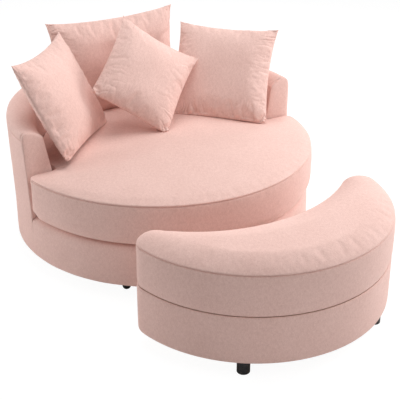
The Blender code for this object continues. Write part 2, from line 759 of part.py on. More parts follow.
def pillow_mesh(size):
    """A knife-edge pillow standing up, face to the front: crowned, with its sides drawn in."""
    width, height, thickness = size
    count = PILLOW_GRID
    work = bmesh.new()
    faces = []
    rim = {}
    for side in (-1, 1):
        grid = []
        for row in range(count + 1):
            v = math.sin(math.pi / 2 * (2 * row / count - 1))
            line = []
            for column in range(count + 1):
                u = math.sin(math.pi / 2 * (2 * column / count - 1))
                x = width / 2 * u * (1 - PILLOW_DRAW_IN * (1 - v * v))
                z = height / 2 * v * (1 - PILLOW_DRAW_IN * (1 - u * u))
                depth = thickness / 2 * ((1 - u * u) * (1 - v * v)) ** PILLOW_FULLNESS
                on_rim = row in (0, count) or column in (0, count)
                key = (row, column)
                if on_rim and key in rim:
                    line.append(rim[key])
                    continue
                vertex = work.verts.new((x, side * depth, z))
                if on_rim:
                    rim[key] = vertex
                line.append(vertex)
            grid.append(line)
        faces.append(grid)
    for grid in faces:
        for row in range(count):
            for column in range(count):
                here, beside = grid[row][column], grid[row][column + 1]
                above, across = grid[row + 1][column], grid[row + 1][column + 1]
                if row in (0, count - 1) and column in (0, count - 1):
                    # split towards the middle, so that the pillow's point keeps its thickness
                    if (row == 0) == (column == 0):
                        pair = ((here, beside, across), (here, across, above))
                    else:
                        pair = ((here, beside, above), (beside, across, above))
                    for triangle in pair:
                        work.faces.new(triangle)
                else:
                    work.faces.new((here, beside, across, above))
    return work


def throw_pillow(name, material, parent):
    """Stands a pillow on the seat cushion, leaning back from the way that it faces."""
    size, place, from_wall, facing, lean, roll, lift = PILLOW_PLACES[name]
    turned_share = abs(math.sin(math.radians(roll))) + abs(math.cos(math.radians(roll)))
    rise = size[1] / 2 * turned_share * math.cos(math.radians(lean))
    centre = polar(WALL_INNER - from_wall, place, CUSHION_TOP_SEAM + CUSHION_CROWN + rise + lift)
    turn = Matrix.Rotation(math.radians(facing), 4, "Z")
    tip = Matrix.Rotation(math.radians(-lean), 4, "X")
    spin = Matrix.Rotation(math.radians(roll), 4, "Y")
    pillow = solid(name, pillow_mesh(size), material, parent)
    pillow.matrix_local = Matrix.Translation(centre) @ turn @ tip @ spin


# Ottoman


def tip_centre(inset, tip):
    """The centre, on the +X side, of the round tip that touches both of the ottoman's arcs."""
    reach_out = OTTOMAN_OUTER_RADIUS - inset - tip
    reach_in = OTTOMAN_INNER_RADIUS + inset + tip
    apart = INNER_CENTRE_Y - OUTER_CENTRE_Y
    from_outer = (reach_out**2 - reach_in**2 + apart**2) / (2 * apart)
    return math.sqrt(reach_out**2 - from_outer**2), OUTER_CENTRE_Y + from_outer


def crescent(inset):
    """Plan of the ottoman, in the chair's frame: two arcs joined by round tips."""
    outer = OTTOMAN_OUTER_RADIUS - inset
    inner = OTTOMAN_INNER_RADIUS + inset
    tip = max(OTTOMAN_TIP - inset, OTTOMAN_TIP_SMALLEST)
    tip_x, tip_y = tip_centre(inset, tip)
    outer_turn = math.degrees(math.atan2(tip_x, OUTER_CENTRE_Y - tip_y))
    inner_turn = math.degrees(math.atan2(tip_x, INNER_CENTRE_Y - tip_y))
    half = plan_arc(OUTER_CENTRE_Y, outer, 0, outer_turn, OTTOMAN_ARC_POINTS)
    for i in range(1, OTTOMAN_TIP_SIDES):
        turn = math.radians(outer_turn + (180 + inner_turn - outer_turn) * i / OTTOMAN_TIP_SIDES)
        half.append((tip_x + tip * math.sin(turn), tip_y - tip * math.cos(turn)))
    half += plan_arc(INNER_CENTRE_Y, inner, inner_turn, 0, OTTOMAN_ARC_POINTS)
    return mirrored(half)


def ottoman_tub(board, cover, parent):
    inner = COVER_THICKNESS + TUB_BOARD
    outside, middle = crescent(0.0), crescent(COVER_THICKNESS - GAP)
    solid("ottoman_cover", walled(outside, middle, OTTOMAN_LIFT, TUB_HEIGHT), cover, parent)
    outside, inside = crescent(COVER_THICKNESS), crescent(inner)
    solid("ottoman_tub_board", walled(outside, inside, OTTOMAN_LIFT, TUB_HEIGHT), board, parent)
    floor = slab(crescent(inner + GAP), OTTOMAN_LIFT, OTTOMAN_LIFT + TUB_FLOOR)
    solid("ottoman_floor_board", floor, board, parent)


def ottoman_foot(name, place, material, parent):
    """A plain round leg with softened edges, screwed up against the floor board."""
    top = OTTOMAN_LIFT - GAP
    profile = [
        (0.0, 0.0),
        (OTTOMAN_FOOT_RADIUS - OTTOMAN_FOOT_EDGE, 0.0),
        (OTTOMAN_FOOT_RADIUS, OTTOMAN_FOOT_EDGE),
        (OTTOMAN_FOOT_RADIUS, top),
        (0.0, top),
    ]
    foot = solid(name, turned(profile, LEG_SIDES), material, parent)
    foot.location = place


def ottoman_feet(material, parent):
    """Two legs under the outer arc and two, farther in, along the inner arc."""
    for name, (angle, inset) in OTTOMAN_FRONT_FEET.items():
        place = polar(OTTOMAN_OUTER_RADIUS - inset, angle) + Vector((0, OUTER_CENTRE_Y, 0))
        ottoman_foot(f"ottoman_foot_{name}", place, material, parent)
    for name, (angle, inset) in OTTOMAN_BACK_FEET.items():
        place = polar(OTTOMAN_INNER_RADIUS + inset, angle) + Vector((0, INNER_CENTRE_Y, 0))
        ottoman_foot(f"ottoman_foot_{name}", place, material, parent)


def lid_cushion(cover, parent):
    """The lid's cushion: its boxed side wraps the lid board's edge and its top is crowned."""
    low, high = LID_BOTTOM, LID_TOP_SEAM
    soft = LID_EDGE_SOFTNESS
    band = [
        (LID_CUSHION_BOTTOM, COVER_THICKNESS),
        (low, COVER_THICKNESS),
        (low, soft / 2),
        (low + soft, soft / 10),
        ((low + high) / 2, 0.0),
        (high - soft, soft / 10),
        (high, soft / 2),
    ]
    layers = [[(x, y, z) for x, y in crescent(inset)] for z, inset in band]
    for inset, share in LID_CROWN_STEPS:
        layers.append([(x, y, high + LID_CROWN * share) for x, y in crescent(inset)])
    solid("ottoman_lid_cushion", stacked(layers), cover, parent)


def ottoman_lid(board, cover, parent):
    lid_board = slab(crescent(COVER_THICKNESS + GAP), LID_BOTTOM, LID_BOARD_TOP)
    solid("ottoman_lid_board", lid_board, board, parent)
    outer = OTTOMAN_OUTER_RADIUS - COVER_THICKNESS - TUB_BOARD - LID_CLEAT_CLEARANCE
    top = LID_BOTTOM - GAP
    low = top - LID_CLEAT_HEIGHT
    profile = [(outer - LID_CLEAT_WIDTH, low), (outer, low), (outer, top), (outer - LID_CLEAT_WIDTH, top)]
    cleat = swept(profile, -LID_CLEAT_ANGLE, LID_CLEAT_ANGLE)
    bmesh.ops.translate(cleat, vec=(0, OUTER_CENTRE_Y, 0), verts=cleat.verts)
    solid("ottoman_lid_cleat", cleat, board, parent)
    lid_cushion(cover, parent)


def ottoman_frame(name):
    """The ottoman's own frame, turned about the centre of its outer arc."""
    turn = Matrix.Rotation(math.radians(OTTOMAN_TURN), 4, "Z")
    centre = Vector((0, OUTER_CENTRE_Y, 0))
    empty = axis_empty(name, Vector((OTTOMAN_SHIFT, CHAIR_Y, 0)) + centre - turn @ centre)
    empty.rotation_euler = (0, 0, math.radians(OTTOMAN_TURN))
    return empty


# The set


def build():
    clear_scene()
    fabric = finish_material("blush_chenille", (0.80, 0.55, 0.49), 0.92)
    pillow_fabric = finish_material("blush_chenille_pillow", (0.82, 0.57, 0.51), 0.92)
    plywood = finish_material("birch_plywood", (0.62, 0.44, 0.27), 0.6)
    timber = finish_material("pine_frame", (0.66, 0.47, 0.29), 0.65)
    steel = finish_material("zinc_plated_steel", (0.60, 0.61, 0.62), 0.35, 1.0)
    spring_steel = finish_material("spring_steel", (0.18, 0.18, 0.19), 0.4, 1.0)
    black = finish_material("black_plastic", (0.012, 0.012, 0.014), 0.35)
    felt = finish_material("grey_felt", (0.35, 0.34, 0.33), 0.95)

    for name, angle in (("front_right", 45), ("back_right", 135), ("back_left", 225), ("front_left", 315)):
        base_foot(f"base_foot_{name}", angle, black)
    base_beam("base_beam_lower", 45, False, timber)
    base_beam("base_beam_upper", -45, True, timber)
    bearing_lower_plate(steel)
    cage_axis = axis_empty("ball_cage_axis", (0, CHAIR_Y, 0))
    bearing_balls(steel, cage_axis)

    seat = axis_empty("swivel_axis", (0, CHAIR_Y, 0))
    bearing_upper_plate(steel, seat)
    floor_panel(plywood, seat)
    drum_hoop(plywood, seat)
    deck_ring(plywood, seat)
    for i, angle in enumerate(FRONT_POST_ANGLES):
        frame_post(f"front_post_{i + 1}", angle, DECK_TOP, timber, seat)
    for i, angle in enumerate(BACK_POST_ANGLES):
        frame_post(f"back_post_{i + 1}", angle, TOP_RAIL_BOTTOM - GAP, timber, seat)
    top_rail(plywood, seat)
    back_board(plywood, seat)
    seat_springs(spring_steel, steel, seat)
    felt_pad(felt, seat)
    front_cover(fabric, seat)
    outer_cover(fabric, seat)
    inner_pad(fabric, seat)
    arm_front_panel("arm_front_panel_right", 1, fabric, seat)
    arm_front_panel("arm_front_panel_left", -1, fabric, seat)
    seat_cushion(fabric, seat)

    for name in PILLOW_PLACES:
        throw_pillow(name, pillow_fabric, seat)

    ottoman = ottoman_frame("ottoman_place")
    ottoman_tub(plywood, fabric, ottoman)
    ottoman_feet(black, ottoman)
    lid = ottoman_frame("ottoman_lid_place")
    ottoman_lid(plywood, fabric, lid)


build()
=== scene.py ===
# %% [markdown]
# # A round swivel chair and its half-moon ottoman
#
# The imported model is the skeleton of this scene: every board, spring, bearing plate and cushion
# is already there, in metres, in its right place. The cells below give it its looks. Soft pieces
# are made again as cloth, because a cushion that was drawn for its size alone has no give in it.
# The springs, the ball cage and the feet get finer meshes. Everything else keeps its own mesh and
# gets a material.

import json
import math

import bmesh
import bpy
import numpy as np
from mathutils import Matrix, Vector, noise
from mathutils.bvhtree import BVHTree
from mathutils.geometry import delaunay_2d_cdt

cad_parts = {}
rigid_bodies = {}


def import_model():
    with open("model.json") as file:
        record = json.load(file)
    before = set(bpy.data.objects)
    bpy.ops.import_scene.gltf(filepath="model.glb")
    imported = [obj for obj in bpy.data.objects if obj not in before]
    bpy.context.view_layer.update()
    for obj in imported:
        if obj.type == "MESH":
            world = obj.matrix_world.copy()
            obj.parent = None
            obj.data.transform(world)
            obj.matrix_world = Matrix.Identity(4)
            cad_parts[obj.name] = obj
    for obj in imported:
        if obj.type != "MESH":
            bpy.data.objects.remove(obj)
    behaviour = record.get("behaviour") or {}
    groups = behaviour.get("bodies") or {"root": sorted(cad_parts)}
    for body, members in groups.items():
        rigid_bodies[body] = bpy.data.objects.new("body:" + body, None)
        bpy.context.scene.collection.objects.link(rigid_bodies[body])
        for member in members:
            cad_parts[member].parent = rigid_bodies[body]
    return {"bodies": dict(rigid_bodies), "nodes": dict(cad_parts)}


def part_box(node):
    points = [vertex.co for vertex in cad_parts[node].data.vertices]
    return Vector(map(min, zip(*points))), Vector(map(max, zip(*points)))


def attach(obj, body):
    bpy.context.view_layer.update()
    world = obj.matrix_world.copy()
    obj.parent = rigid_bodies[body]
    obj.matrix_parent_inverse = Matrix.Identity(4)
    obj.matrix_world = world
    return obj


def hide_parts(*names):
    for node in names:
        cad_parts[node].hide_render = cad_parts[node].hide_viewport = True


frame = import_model()
bpy.context.scene.view_settings.view_transform = "Standard"
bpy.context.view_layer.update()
nodes = frame["nodes"]

# %% [markdown]
# The photograph looks down on the set from its front left, through a long lens, so that the seat's
# circle shows as a broad oval. A camera could be moved by hand until it fits. Here it stands at a
# distance from a point on the set, in a direction given by two angles, because those few numbers
# are what a fit to the photograph gives.


# %% Camera
def added(name, data):
    """A new object in the scene that shows the given data."""
    made = bpy.data.objects.new(name, data)
    bpy.context.scene.collection.objects.link(made)
    return made


def turn_back_to(thing, direction):
    """Turns a camera or a lamp, which look along their own -Z, so that its back has a direction."""
    thing.rotation_mode = "QUATERNION"
    thing.rotation_quaternion = direction.to_track_quat("Z", "Y")


chair_low, chair_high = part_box("swivel_upper_plate")
CHAIR = (chair_low + chair_high) / 2
CHAIR.z = 0.0
LOOKED_AT, DISTANCE = Vector((0.14366, 0.20619, 0.1313)), 4.24
AZIMUTH, ELEVATION = math.radians(-31.8), math.radians(26.4)

camera_data = bpy.data.cameras.new("camera")
camera_data.lens = 85.0
camera_data.sensor_width = 36.0
camera = added("camera", camera_data)
back = Vector((math.sin(AZIMUTH), -math.cos(AZIMUTH), math.tan(ELEVATION))) * math.cos(ELEVATION)
camera.location = LOOKED_AT + back * DISTANCE
turn_back_to(camera, back)
bpy.context.scene.camera = camera
print("chair axis", tuple(CHAIR), "camera", tuple(camera.location))

# %% [markdown]
# A material's look is mostly arithmetic on noise. The nodes could be placed and linked one by one,
# but pages of links are hard to read. Wrapping a node's output in a small class lets that
# arithmetic be written with Python's own signs, and one method makes every other node, in a
# material, in the sky and later in a geometry tree.


# %% Sums of wires
class Wire:
    """A node's output, on which + and * add Math nodes."""

    def __init__(self, tree, socket):
        self.tree = tree
        self.socket = socket

    def __add__(self, other):
        return self.tree.node("ShaderNodeMath", {"operation": "ADD"}, {0: self, 1: other})

    def __mul__(self, other):
        return self.tree.node("ShaderNodeMath", {"operation": "MULTIPLY"}, {0: self, 1: other})

    __radd__ = __add__
    __rmul__ = __mul__


class Tree:
    """A node tree that grows node by node."""

    def __init__(self, tree):
        self.tree = tree

    def node(self, kind, settings=(), inputs=(), output=0):
        """Adds a node, feeds it with wires, lists of wires or plain values, and gives one output."""
        made = self.tree.nodes.new(kind)
        for key, value in dict(settings).items():
            setattr(made, key, value)
        for key, value in dict(inputs).items():
            for each in value if isinstance(value, list) else [value]:
                if isinstance(each, Wire):
                    self.tree.links.new(each.socket, made.inputs[key])
                else:
                    made.inputs[key].default_value = each
        return Wire(self, made.outputs[output])

    def join(self, wire, node, key):
        """Leads a wire to an input of a node that the tree already has."""
        self.tree.links.new(wire.socket, self.tree.nodes[node].inputs[key])


print("wires ready")

# %% [markdown]
# Every finish on this set is worn or woven in small steps: a patch is a little lighter, rougher or
# higher than the next. That could be painted on an image. Noise that is computed at each point
# needs no image and stays sharp from near, so a finish here is noise, a blend of two colours and a
# bump, and its class has one method for each of them.


# %% A finish and its parts
class Finish(Tree):
    """A material whose shader starts with constant values of its own sockets."""

    def __init__(self, name, on_cloth=False, **constants):
        self.material = bpy.data.materials.new(name)
        self.material.use_nodes = True
        self.on_cloth = on_cloth
        super().__init__(self.material.node_tree)
        self.shader = self.tree.nodes["Principled BSDF"]
        for key, value in constants.items():
            self.shader.inputs[self.socket_name(key)].default_value = value

    def socket_name(self, key):
        return key.replace("_", " ").title().replace("Ior", "IOR")

    def noise(self, scale, detail=2.0, rough=0.5):
        """Noise on the object's coordinates, or on the cloth's flat ones, stretched by a scale."""
        if self.on_cloth:
            spot = self.node("ShaderNodeUVMap", {"uv_map": "cloth"})
        else:
            spot = self.node("ShaderNodeTexCoord", output="Object")
        spot = self.node("ShaderNodeMapping", (), {"Vector": spot, "Scale": scale})
        look = {"Vector": spot, "Scale": 1.0, "Detail": detail, "Roughness": rough}
        return self.node("ShaderNodeTexNoise", (), look)

    def between(self, value, low, high):
        """Carries a value from low..high to 0..1, and no farther."""
        reach = {"Value": value, "From Min": low, "From Max": high}
        return self.node("ShaderNodeMapRange", {"clamp": True}, reach)

    def blend(self, share, first, second):
        """The first colour where the share is 0, the second where it is 1."""
        return self.node("ShaderNodeMix", {"data_type": "RGBA"}, {0: share, 6: first, 7: second}, 2)

    def bump(self, height, depth, strength):
        return self.node("ShaderNodeBump", (), {"Height": height, "Distance": depth, "Strength": strength})

    def feed(self, **wires):
        """Leads wires to sockets of the shader, and gives the finished material."""
        for key, wire in wires.items():
            self.join(wire, "Principled BSDF", self.socket_name(key))
        return self.material


def rgba(red, green, blue):
    """A colour from its 0 to 255 values on screen, as the linear values that a shader reads."""
    linear = []
    for part in (red, green, blue):
        share = part / 255
        linear.append(share / 12.92 if share <= 0.04045 else ((share + 0.055) / 1.055) ** 2.4)
    return (*linear, 1.0)


print("finish ready, mid grey is", round(rgba(128, 128, 128)[0], 3), "in linear light")

# %% [markdown]
# The upholstery is a blush chenille: short tufted yarns, a little lighter and darker from yarn to
# yarn, that lie in rows. Real tufts would be millions of hairs, and a flat pink would look like
# paint. So its colour comes from four layers of noise on the cloth's own coordinates, from clouds
# in the nap to single yarns, and the rows and yarns also lift a bump.

# %% Blush chenille
YARN = 0.0022


def chenille(name, light, deep):
    cloth = Finish(
        name,
        on_cloth=True,
        roughness=0.88,
        sheen_weight=0.30,
        sheen_roughness=0.45,
        sheen_tint=(1.0, 0.80, 0.74, 1.0),
        specular_ior_level=0.12,
    )
    rows = cloth.noise((1 / YARN, 0.22 / YARN, 1), 3.0)
    yarns = cloth.noise((0.5 / YARN, 0.5 / YARN, 1), 2.0, 0.6)
    flecks = cloth.noise((95.0, 60.0, 1), 3.0, 0.6)
    clouds = cloth.noise((9.0, 7.0, 1))
    shade = 0.34 * rows + 0.28 * yarns + 0.30 * flecks + 0.12 * clouds
    share = cloth.between(shade, 0.38, 0.66)
    height = rows * 0.7 + yarns * 0.5
    return cloth.feed(
        base_color=cloth.blend(share, deep, light),
        normal=cloth.bump(height, 0.0011, 0.8),
    )


FINISHES = {
    "blush_chenille": chenille("blush_chenille", rgba(247, 212, 203), rgba(226, 186, 176)),
    "blush_chenille_pillow": chenille("blush_chenille_pillow", rgba(246, 211, 202), rgba(225, 185, 175)),
}
print("cloth finishes", ", ".join(FINISHES))

# %% [markdown]
# Under the cloth are birch plywood, pine, zinc-plated plates and dark spring wire. Each is one
# short sum. Wood grain could be drawn as rings cut by a plane, but on thin boards it shows only as
# streaks, so it is noise stretched along the board. Rolled steel has finer streaks and cloudy
# plating, which make it shine unevenly.


# %% Wood and steel
def plywood(name, light, dark, grain):
    wood = Finish(name, roughness=0.55)
    bands = wood.noise(grain, 4.0, 0.6)
    pores = wood.noise(tuple(8 * x for x in grain))
    share = wood.between(bands * 0.8 + pores * 0.3, 0.35, 0.75)
    return wood.feed(
        base_color=wood.blend(share, dark, light),
        roughness=0.45 + 0.25 * pores,
        normal=wood.bump(pores + bands, 0.0005, 0.5),
    )


def plated(name, bright, dull, streak, roughness):
    steel = Finish(name, metallic=1.0)
    streaks = steel.noise(streak, 3.0)
    clouds = steel.noise((25.0, 25.0, 25.0), 3.0)
    share = steel.between(streaks * 0.4 + clouds * 0.6, 0.35, 0.7)
    return steel.feed(
        base_color=steel.blend(share, dull, bright),
        roughness=roughness + 0.2 * clouds,
        normal=steel.bump(streaks, 0.0001, 0.4),
    )


for name, make, light, dark, *rest in (
    ("birch_plywood", plywood, rgba(222, 190, 145), rgba(186, 148, 104), (3.0, 60.0, 60.0)),
    ("pine_frame", plywood, rgba(226, 190, 138), rgba(178, 130, 82), (5.0, 5.0, 40.0)),
    ("zinc_plated_steel", plated, rgba(205, 208, 212), rgba(150, 154, 160), (20.0, 400.0, 20.0), 0.28),
    ("spring_steel", plated, rgba(92, 92, 96), rgba(48, 47, 48), (300.0, 30.0, 300.0), 0.35),
):
    FINISHES[name] = make(name, light, dark, *rest)
print("wood and steel", ", ".join(list(FINISHES)[2:]))

# %% [markdown]
# The springs are covered with grey felt, and the chair stands on black plastic glides. Felt is a
# mat of hairs without a direction, so its noise is the same every way, and it has a little sheen.
# The glides are nearly smooth, with faint scuffs that roughen them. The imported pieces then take
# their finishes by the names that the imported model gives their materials.


# %% Felt and plastic
def felted(name, light, dark):
    felt = Finish(name, roughness=0.95, sheen_weight=0.2)
    hairs = felt.noise((400.0, 400.0, 400.0), 4.0, 0.7)
    clumps = felt.noise((60.0, 60.0, 60.0))
    share = felt.between(hairs * 0.6 + clumps * 0.5, 0.4, 0.7)
    return felt.feed(base_color=felt.blend(share, dark, light), normal=felt.bump(hairs, 0.0015, 0.8))


def glide_black(name):
    plastic = Finish(name, specular_ior_level=0.6)
    scuffs = plastic.noise((90.0, 90.0, 900.0), 3.0)
    share = plastic.between(scuffs, 0.45, 0.8)
    return plastic.feed(
        base_color=plastic.blend(share, rgba(14, 14, 16), rgba(38, 38, 42)),
        roughness=0.22 + 0.3 * share,
        normal=plastic.bump(scuffs, 0.0002, 0.3),
    )


FINISHES["grey_felt"] = felted("grey_felt", rgba(168, 164, 158), rgba(96, 94, 92))
FINISHES["black_plastic"] = glide_black("black_plastic")
for node in nodes.values():
    packed = node.data.materials[0].name
    node.data.materials[0] = FINISHES[packed]
print("finishes", ", ".join(FINISHES))

# %% [markdown]
# The set stands in soft daylight, so that its folds read by themselves. A single lamp would leave
# hard shadows between the pillows. Five broad ones stand round it instead: one overhead, one in
# front, one at the left and two at the right.

# %% Lamps
LIT_POINT = Vector((0, 0, 0.4))
LAMPS = {
    "lamp_top": ((0.3, 0.4, 3.4), 2.2, 47),
    "lamp_front": ((0.2, -2.6, 3.0), 2.2, 31),
    "lamp_left": ((-2.6, 2.0, 1.2), 1.8, 40),
    "lamp_right": ((3.3, -0.9, 1.6), 1.8, 76),
    "lamp_far_right": ((2.6, 2.4, 1.8), 1.8, 34),
}
for name, (place, size, power) in LAMPS.items():
    light = bpy.data.lights.new(name, "AREA")
    light.energy = power
    light.size = size
    lamp = added(name, light)
    lamp.location = place
    turn_back_to(lamp, Vector(place) - LIT_POINT)
print(len(LAMPS), "lamps, watts", [power for _, _, power in LAMPS.values()])

# %% [markdown]
# Around the set the photograph is plain white. A sky as bright as that would wash out the folds.
# So the sky gives only a dim, slightly warm light, and Light Path shows it as white to the camera
# and in reflections. The floor mixes its own shading with a glow in the same way, which leaves a
# soft shadow under the set.

# %% Sky and floor
WHITE = (1.0, 1.0, 1.0, 1.0)
SKY_STRENGTH = 0.20
FLOOR_HALF, FLOOR_GLOW, FLOOR_GLOW_SHARE = 14.0, 1.10, 0.86

world = bpy.data.worlds.new("daylight")
bpy.context.scene.world = world
world.use_nodes = True
sky = Tree(world.node_tree)
daylight = world.node_tree.nodes["Background"]
daylight.inputs["Color"].default_value = (1.0, 0.985, 0.97, 1.0)
daylight.inputs["Strength"].default_value = SKY_STRENGTH
white = sky.node("ShaderNodeBackground", (), {"Color": WHITE})
to_camera = sky.node("ShaderNodeLightPath", output="Is Camera Ray")
to_mirror = sky.node("ShaderNodeLightPath", output="Is Glossy Ray")
seen = sky.node("ShaderNodeMath", {"operation": "MAXIMUM"}, {0: to_camera, 1: to_mirror})
mixed = sky.node("ShaderNodeMixShader", (), {0: seen, 1: Wire(sky, daylight.outputs[0]), 2: white})
sky.join(mixed, "World Output", "Surface")

floor_mesh = bpy.data.meshes.new("floor")
floor_corners = [(FLOOR_HALF * x, FLOOR_HALF * y, 0.0) for x, y in ((-1, -1), (1, -1), (1, 1), (-1, 1))]
floor_mesh.from_pydata(floor_corners, [], [(0, 1, 2, 3)])
floor = added("floor", floor_mesh)
paper = Finish("pale_floor", roughness=0.9, specular_ior_level=0.1, base_color=(0.92, 0.92, 0.92, 1.0))
glow = paper.node("ShaderNodeEmission", (), {"Strength": FLOOR_GLOW})
to_camera = paper.node("ShaderNodeLightPath", output="Is Camera Ray")
shaded = Wire(paper, paper.shader.outputs[0])
lifted = paper.node("ShaderNodeMixShader", (), {0: to_camera * FLOOR_GLOW_SHARE, 1: shaded, 2: glow})
paper.join(lifted, "Material Output", "Surface")
floor_mesh.materials.append(paper.material)
print("floor", 2 * FLOOR_HALF, "m wide under a sky of strength", SKY_STRENGTH)

# %% [markdown]
# Every soft piece is a closed skin of small triangles and squares. Its weave could be laid on from
# three sides, but it would then cross every bend at a slant. So each skin carries flat cloth
# coordinates in metres, cut by cut as a maker cuts it, and the weave keeps its size and direction.
# One helper makes such a mesh and turns it the right way out by its volume.


# %% Cloth meshes
def cloth_mesh(name, points, cuts, slot):
    """A closed piece from points and cuts. A cut is a list of faces and the cloth place of each point."""
    mesh = bpy.data.meshes.new(name)
    mesh.from_pydata([tuple(p) for p in points], [], [face for faces, _ in cuts for face in faces])
    layer = mesh.uv_layers.new(name="cloth")
    corner = 0
    for faces, places in cuts:
        for face in faces:
            for k in face:
                layer.data[corner].uv = tuple(places[k])
                corner += 1
    work = bmesh.new()
    work.from_mesh(mesh)
    if work.calc_volume(signed=True) < 0:
        bmesh.ops.reverse_faces(work, faces=work.faces)
    work.to_mesh(mesh)
    work.free()
    mesh.shade_smooth()
    mesh.materials.append(FINISHES[slot])
    return added(name, mesh)


def triples(items, key):
    """One vector of each item, as the rows of an array."""
    flat = np.zeros(len(items) * 3)
    items.foreach_get(key, flat)
    return flat.reshape(-1, 3)


def spots(piece):
    """A piece's points as an array."""
    return triples(piece.data.vertices, "co")


def normals_of(piece):
    return triples(piece.data.vertex_normals, "vector")


def set_spots(piece, points):
    piece.data.vertices.foreach_set("co", np.asarray(points, float).ravel())
    piece.data.update()


print("cloth meshes ready")

# %% [markdown]
# The set is round, so most of its cloth is cut along arcs. Plans and profiles could be typed in
# point by point. They are worked out here from radii and angles instead, so that each one reads as
# the arcs that a pattern maker would draw.


# %% Arcs and rings
def around(radius, angle, z):
    """A point about the chair's axis. The plan angle is 0 in front and 90 on the chair's +X side."""
    turn = math.radians(angle)
    return np.array((CHAIR.x + radius * math.sin(turn), CHAIR.y - radius * math.cos(turn), z))


def arc(centre_y, radius, start, end, count):
    """Plan points of an arc about a centre on the middle line, without its last point."""
    made = []
    for i in range(count):
        turn = math.radians(start + (end - start) * i / count)
        made.append((radius * math.sin(turn), centre_y - radius * math.cos(turn)))
    return made


def mirrored(half):
    return np.array(half + [(-x, y) for x, y in reversed(half[1:-1])])


def way_round(ring):
    """How far along a closed outline each of its points lies, and last the whole way round."""
    ring = np.asarray(ring)
    steps = np.linalg.norm(np.roll(ring, -1, axis=0) - ring, axis=1)
    return np.concatenate([[0.0], np.cumsum(steps)])


def squares(rows, count, loop=False):
    """Faces between rings of points, ring by ring. With loop, the last ring meets the first."""
    faces = []
    for row in range(rows if loop else rows - 1):
        here, above = row * count, (row + 1) % rows * count
        for k in range(count):
            j = (k + 1) % count
            faces.append((here + k, here + j, above + j, above + k))
    return faces


def tube_cuts(along, up, loop=False, swap=False):
    """The squares of a tube as two cuts, with each point's way along its ring and up the rings.

    Where a ring closes, its first point is also its end. The squares there are a cut of their own.
    """
    count = len(along) - 1
    faces = squares(len(up), count, loop)
    cuts = []
    for closing in (False, True):
        chosen = [face for i, face in enumerate(faces) if ((i + 1) % count == 0) == closing]
        ring = [along[-1] if closing else along[0], *along[1:-1]]
        places = [(ring[k % count], up[k // count]) for k in range(len(up) * count)]
        cuts.append((chosen, [place[::-1] for place in places] if swap else places))
    return cuts


print("a ring of radius 1 is", round(way_round(arc(0, 1.0, 0, 360, 72))[-1], 3), "round")

# %% [markdown]
# The top of a cushion is one piece of cloth. Squares would crease only along their own rows, so it
# is filled with even triangles, which crease in any direction. The helper lays a grid of points
# inside an outline, joins them by Delaunay's rule, and also measures how far each point is from
# the edge, because a crown rises with that distance.

# %% Filling an outline with triangles
ROW_SHARE = 0.866  # the height of an even triangle over its side
TINY, MERGED_WITHIN, INSIDE_ONLY = 1e-12, 1e-7, 1


def panel(outline, pitch, margin):
    """Fills a plan outline with even triangles: points, triangles, and each point's distance to the edge."""
    low, high = outline.min(0), outline.max(0)
    grid = []
    for row in range(int((high[1] - low[1]) / (pitch * ROW_SHARE)) + 1):
        for column in range(int((high[0] - low[0]) / pitch) + 2):
            across = pitch * (column + 0.5 * (row % 2))
            grid.append((low[0] + across, low[1] + pitch * ROW_SHARE * (row + 0.5)))
    grid = np.array(grid)
    gap = np.full(len(grid), np.inf)
    inside = np.zeros(len(grid), bool)
    for a, b in zip(outline, np.roll(outline, -1, axis=0)):
        run = b - a
        along = np.clip(((grid - a) @ run) / (run @ run), 0, 1)
        gap = np.minimum(gap, np.linalg.norm(grid - a - along[:, None] * run, axis=1))
        crosses = (a[1] > grid[:, 1]) != (b[1] > grid[:, 1])
        rise = run[1] if abs(run[1]) > TINY else TINY
        inside ^= crosses & (grid[:, 0] < a[0] + (grid[:, 1] - a[1]) * run[0] / rise)
    kept = inside & (gap > margin)
    places = np.vstack([outline, grid[kept]])
    triangles = delaunay([Vector(p) for p in places], len(outline))
    return places, triangles, np.concatenate([np.zeros(len(outline)), gap[kept]])


def delaunay(places, count):
    """Triangles between places, inside the ring that the first count of them make."""
    ring = [list(range(count))]
    found = delaunay_2d_cdt(places, [], ring, INSIDE_ONLY, MERGED_WITHIN)
    triangles, origin = found[2], found[3]
    return [[origin[k][0] for k in triangle] for triangle in triangles]


def closed_over(outline, first=0, flip=False):
    """Triangles that close a plain outline without adding points to it."""
    ring = [Vector(tuple(p)[:2]) for p in outline]
    made = [[first + k for k in triangle] for triangle in delaunay(ring, len(ring))]
    return [t[::-1] for t in made] if flip else made


print("a 1 m disc takes", len(panel(np.array(arc(0, 0.5, 0, 360, 72)), 0.05, 0.02)[1]), "triangles")

# %% [markdown]
# A cushion's roundness comes from the pressure of its filling. It could be sculpted, but cloth
# under pressure finds the form by itself. Blender's Cloth does that: the seam is pinned, the cloth
# is cut a little larger than the shape that it covers, and air pressure without gravity pushes it
# out for some frames. What moved too far is held back, and the result becomes the mesh.


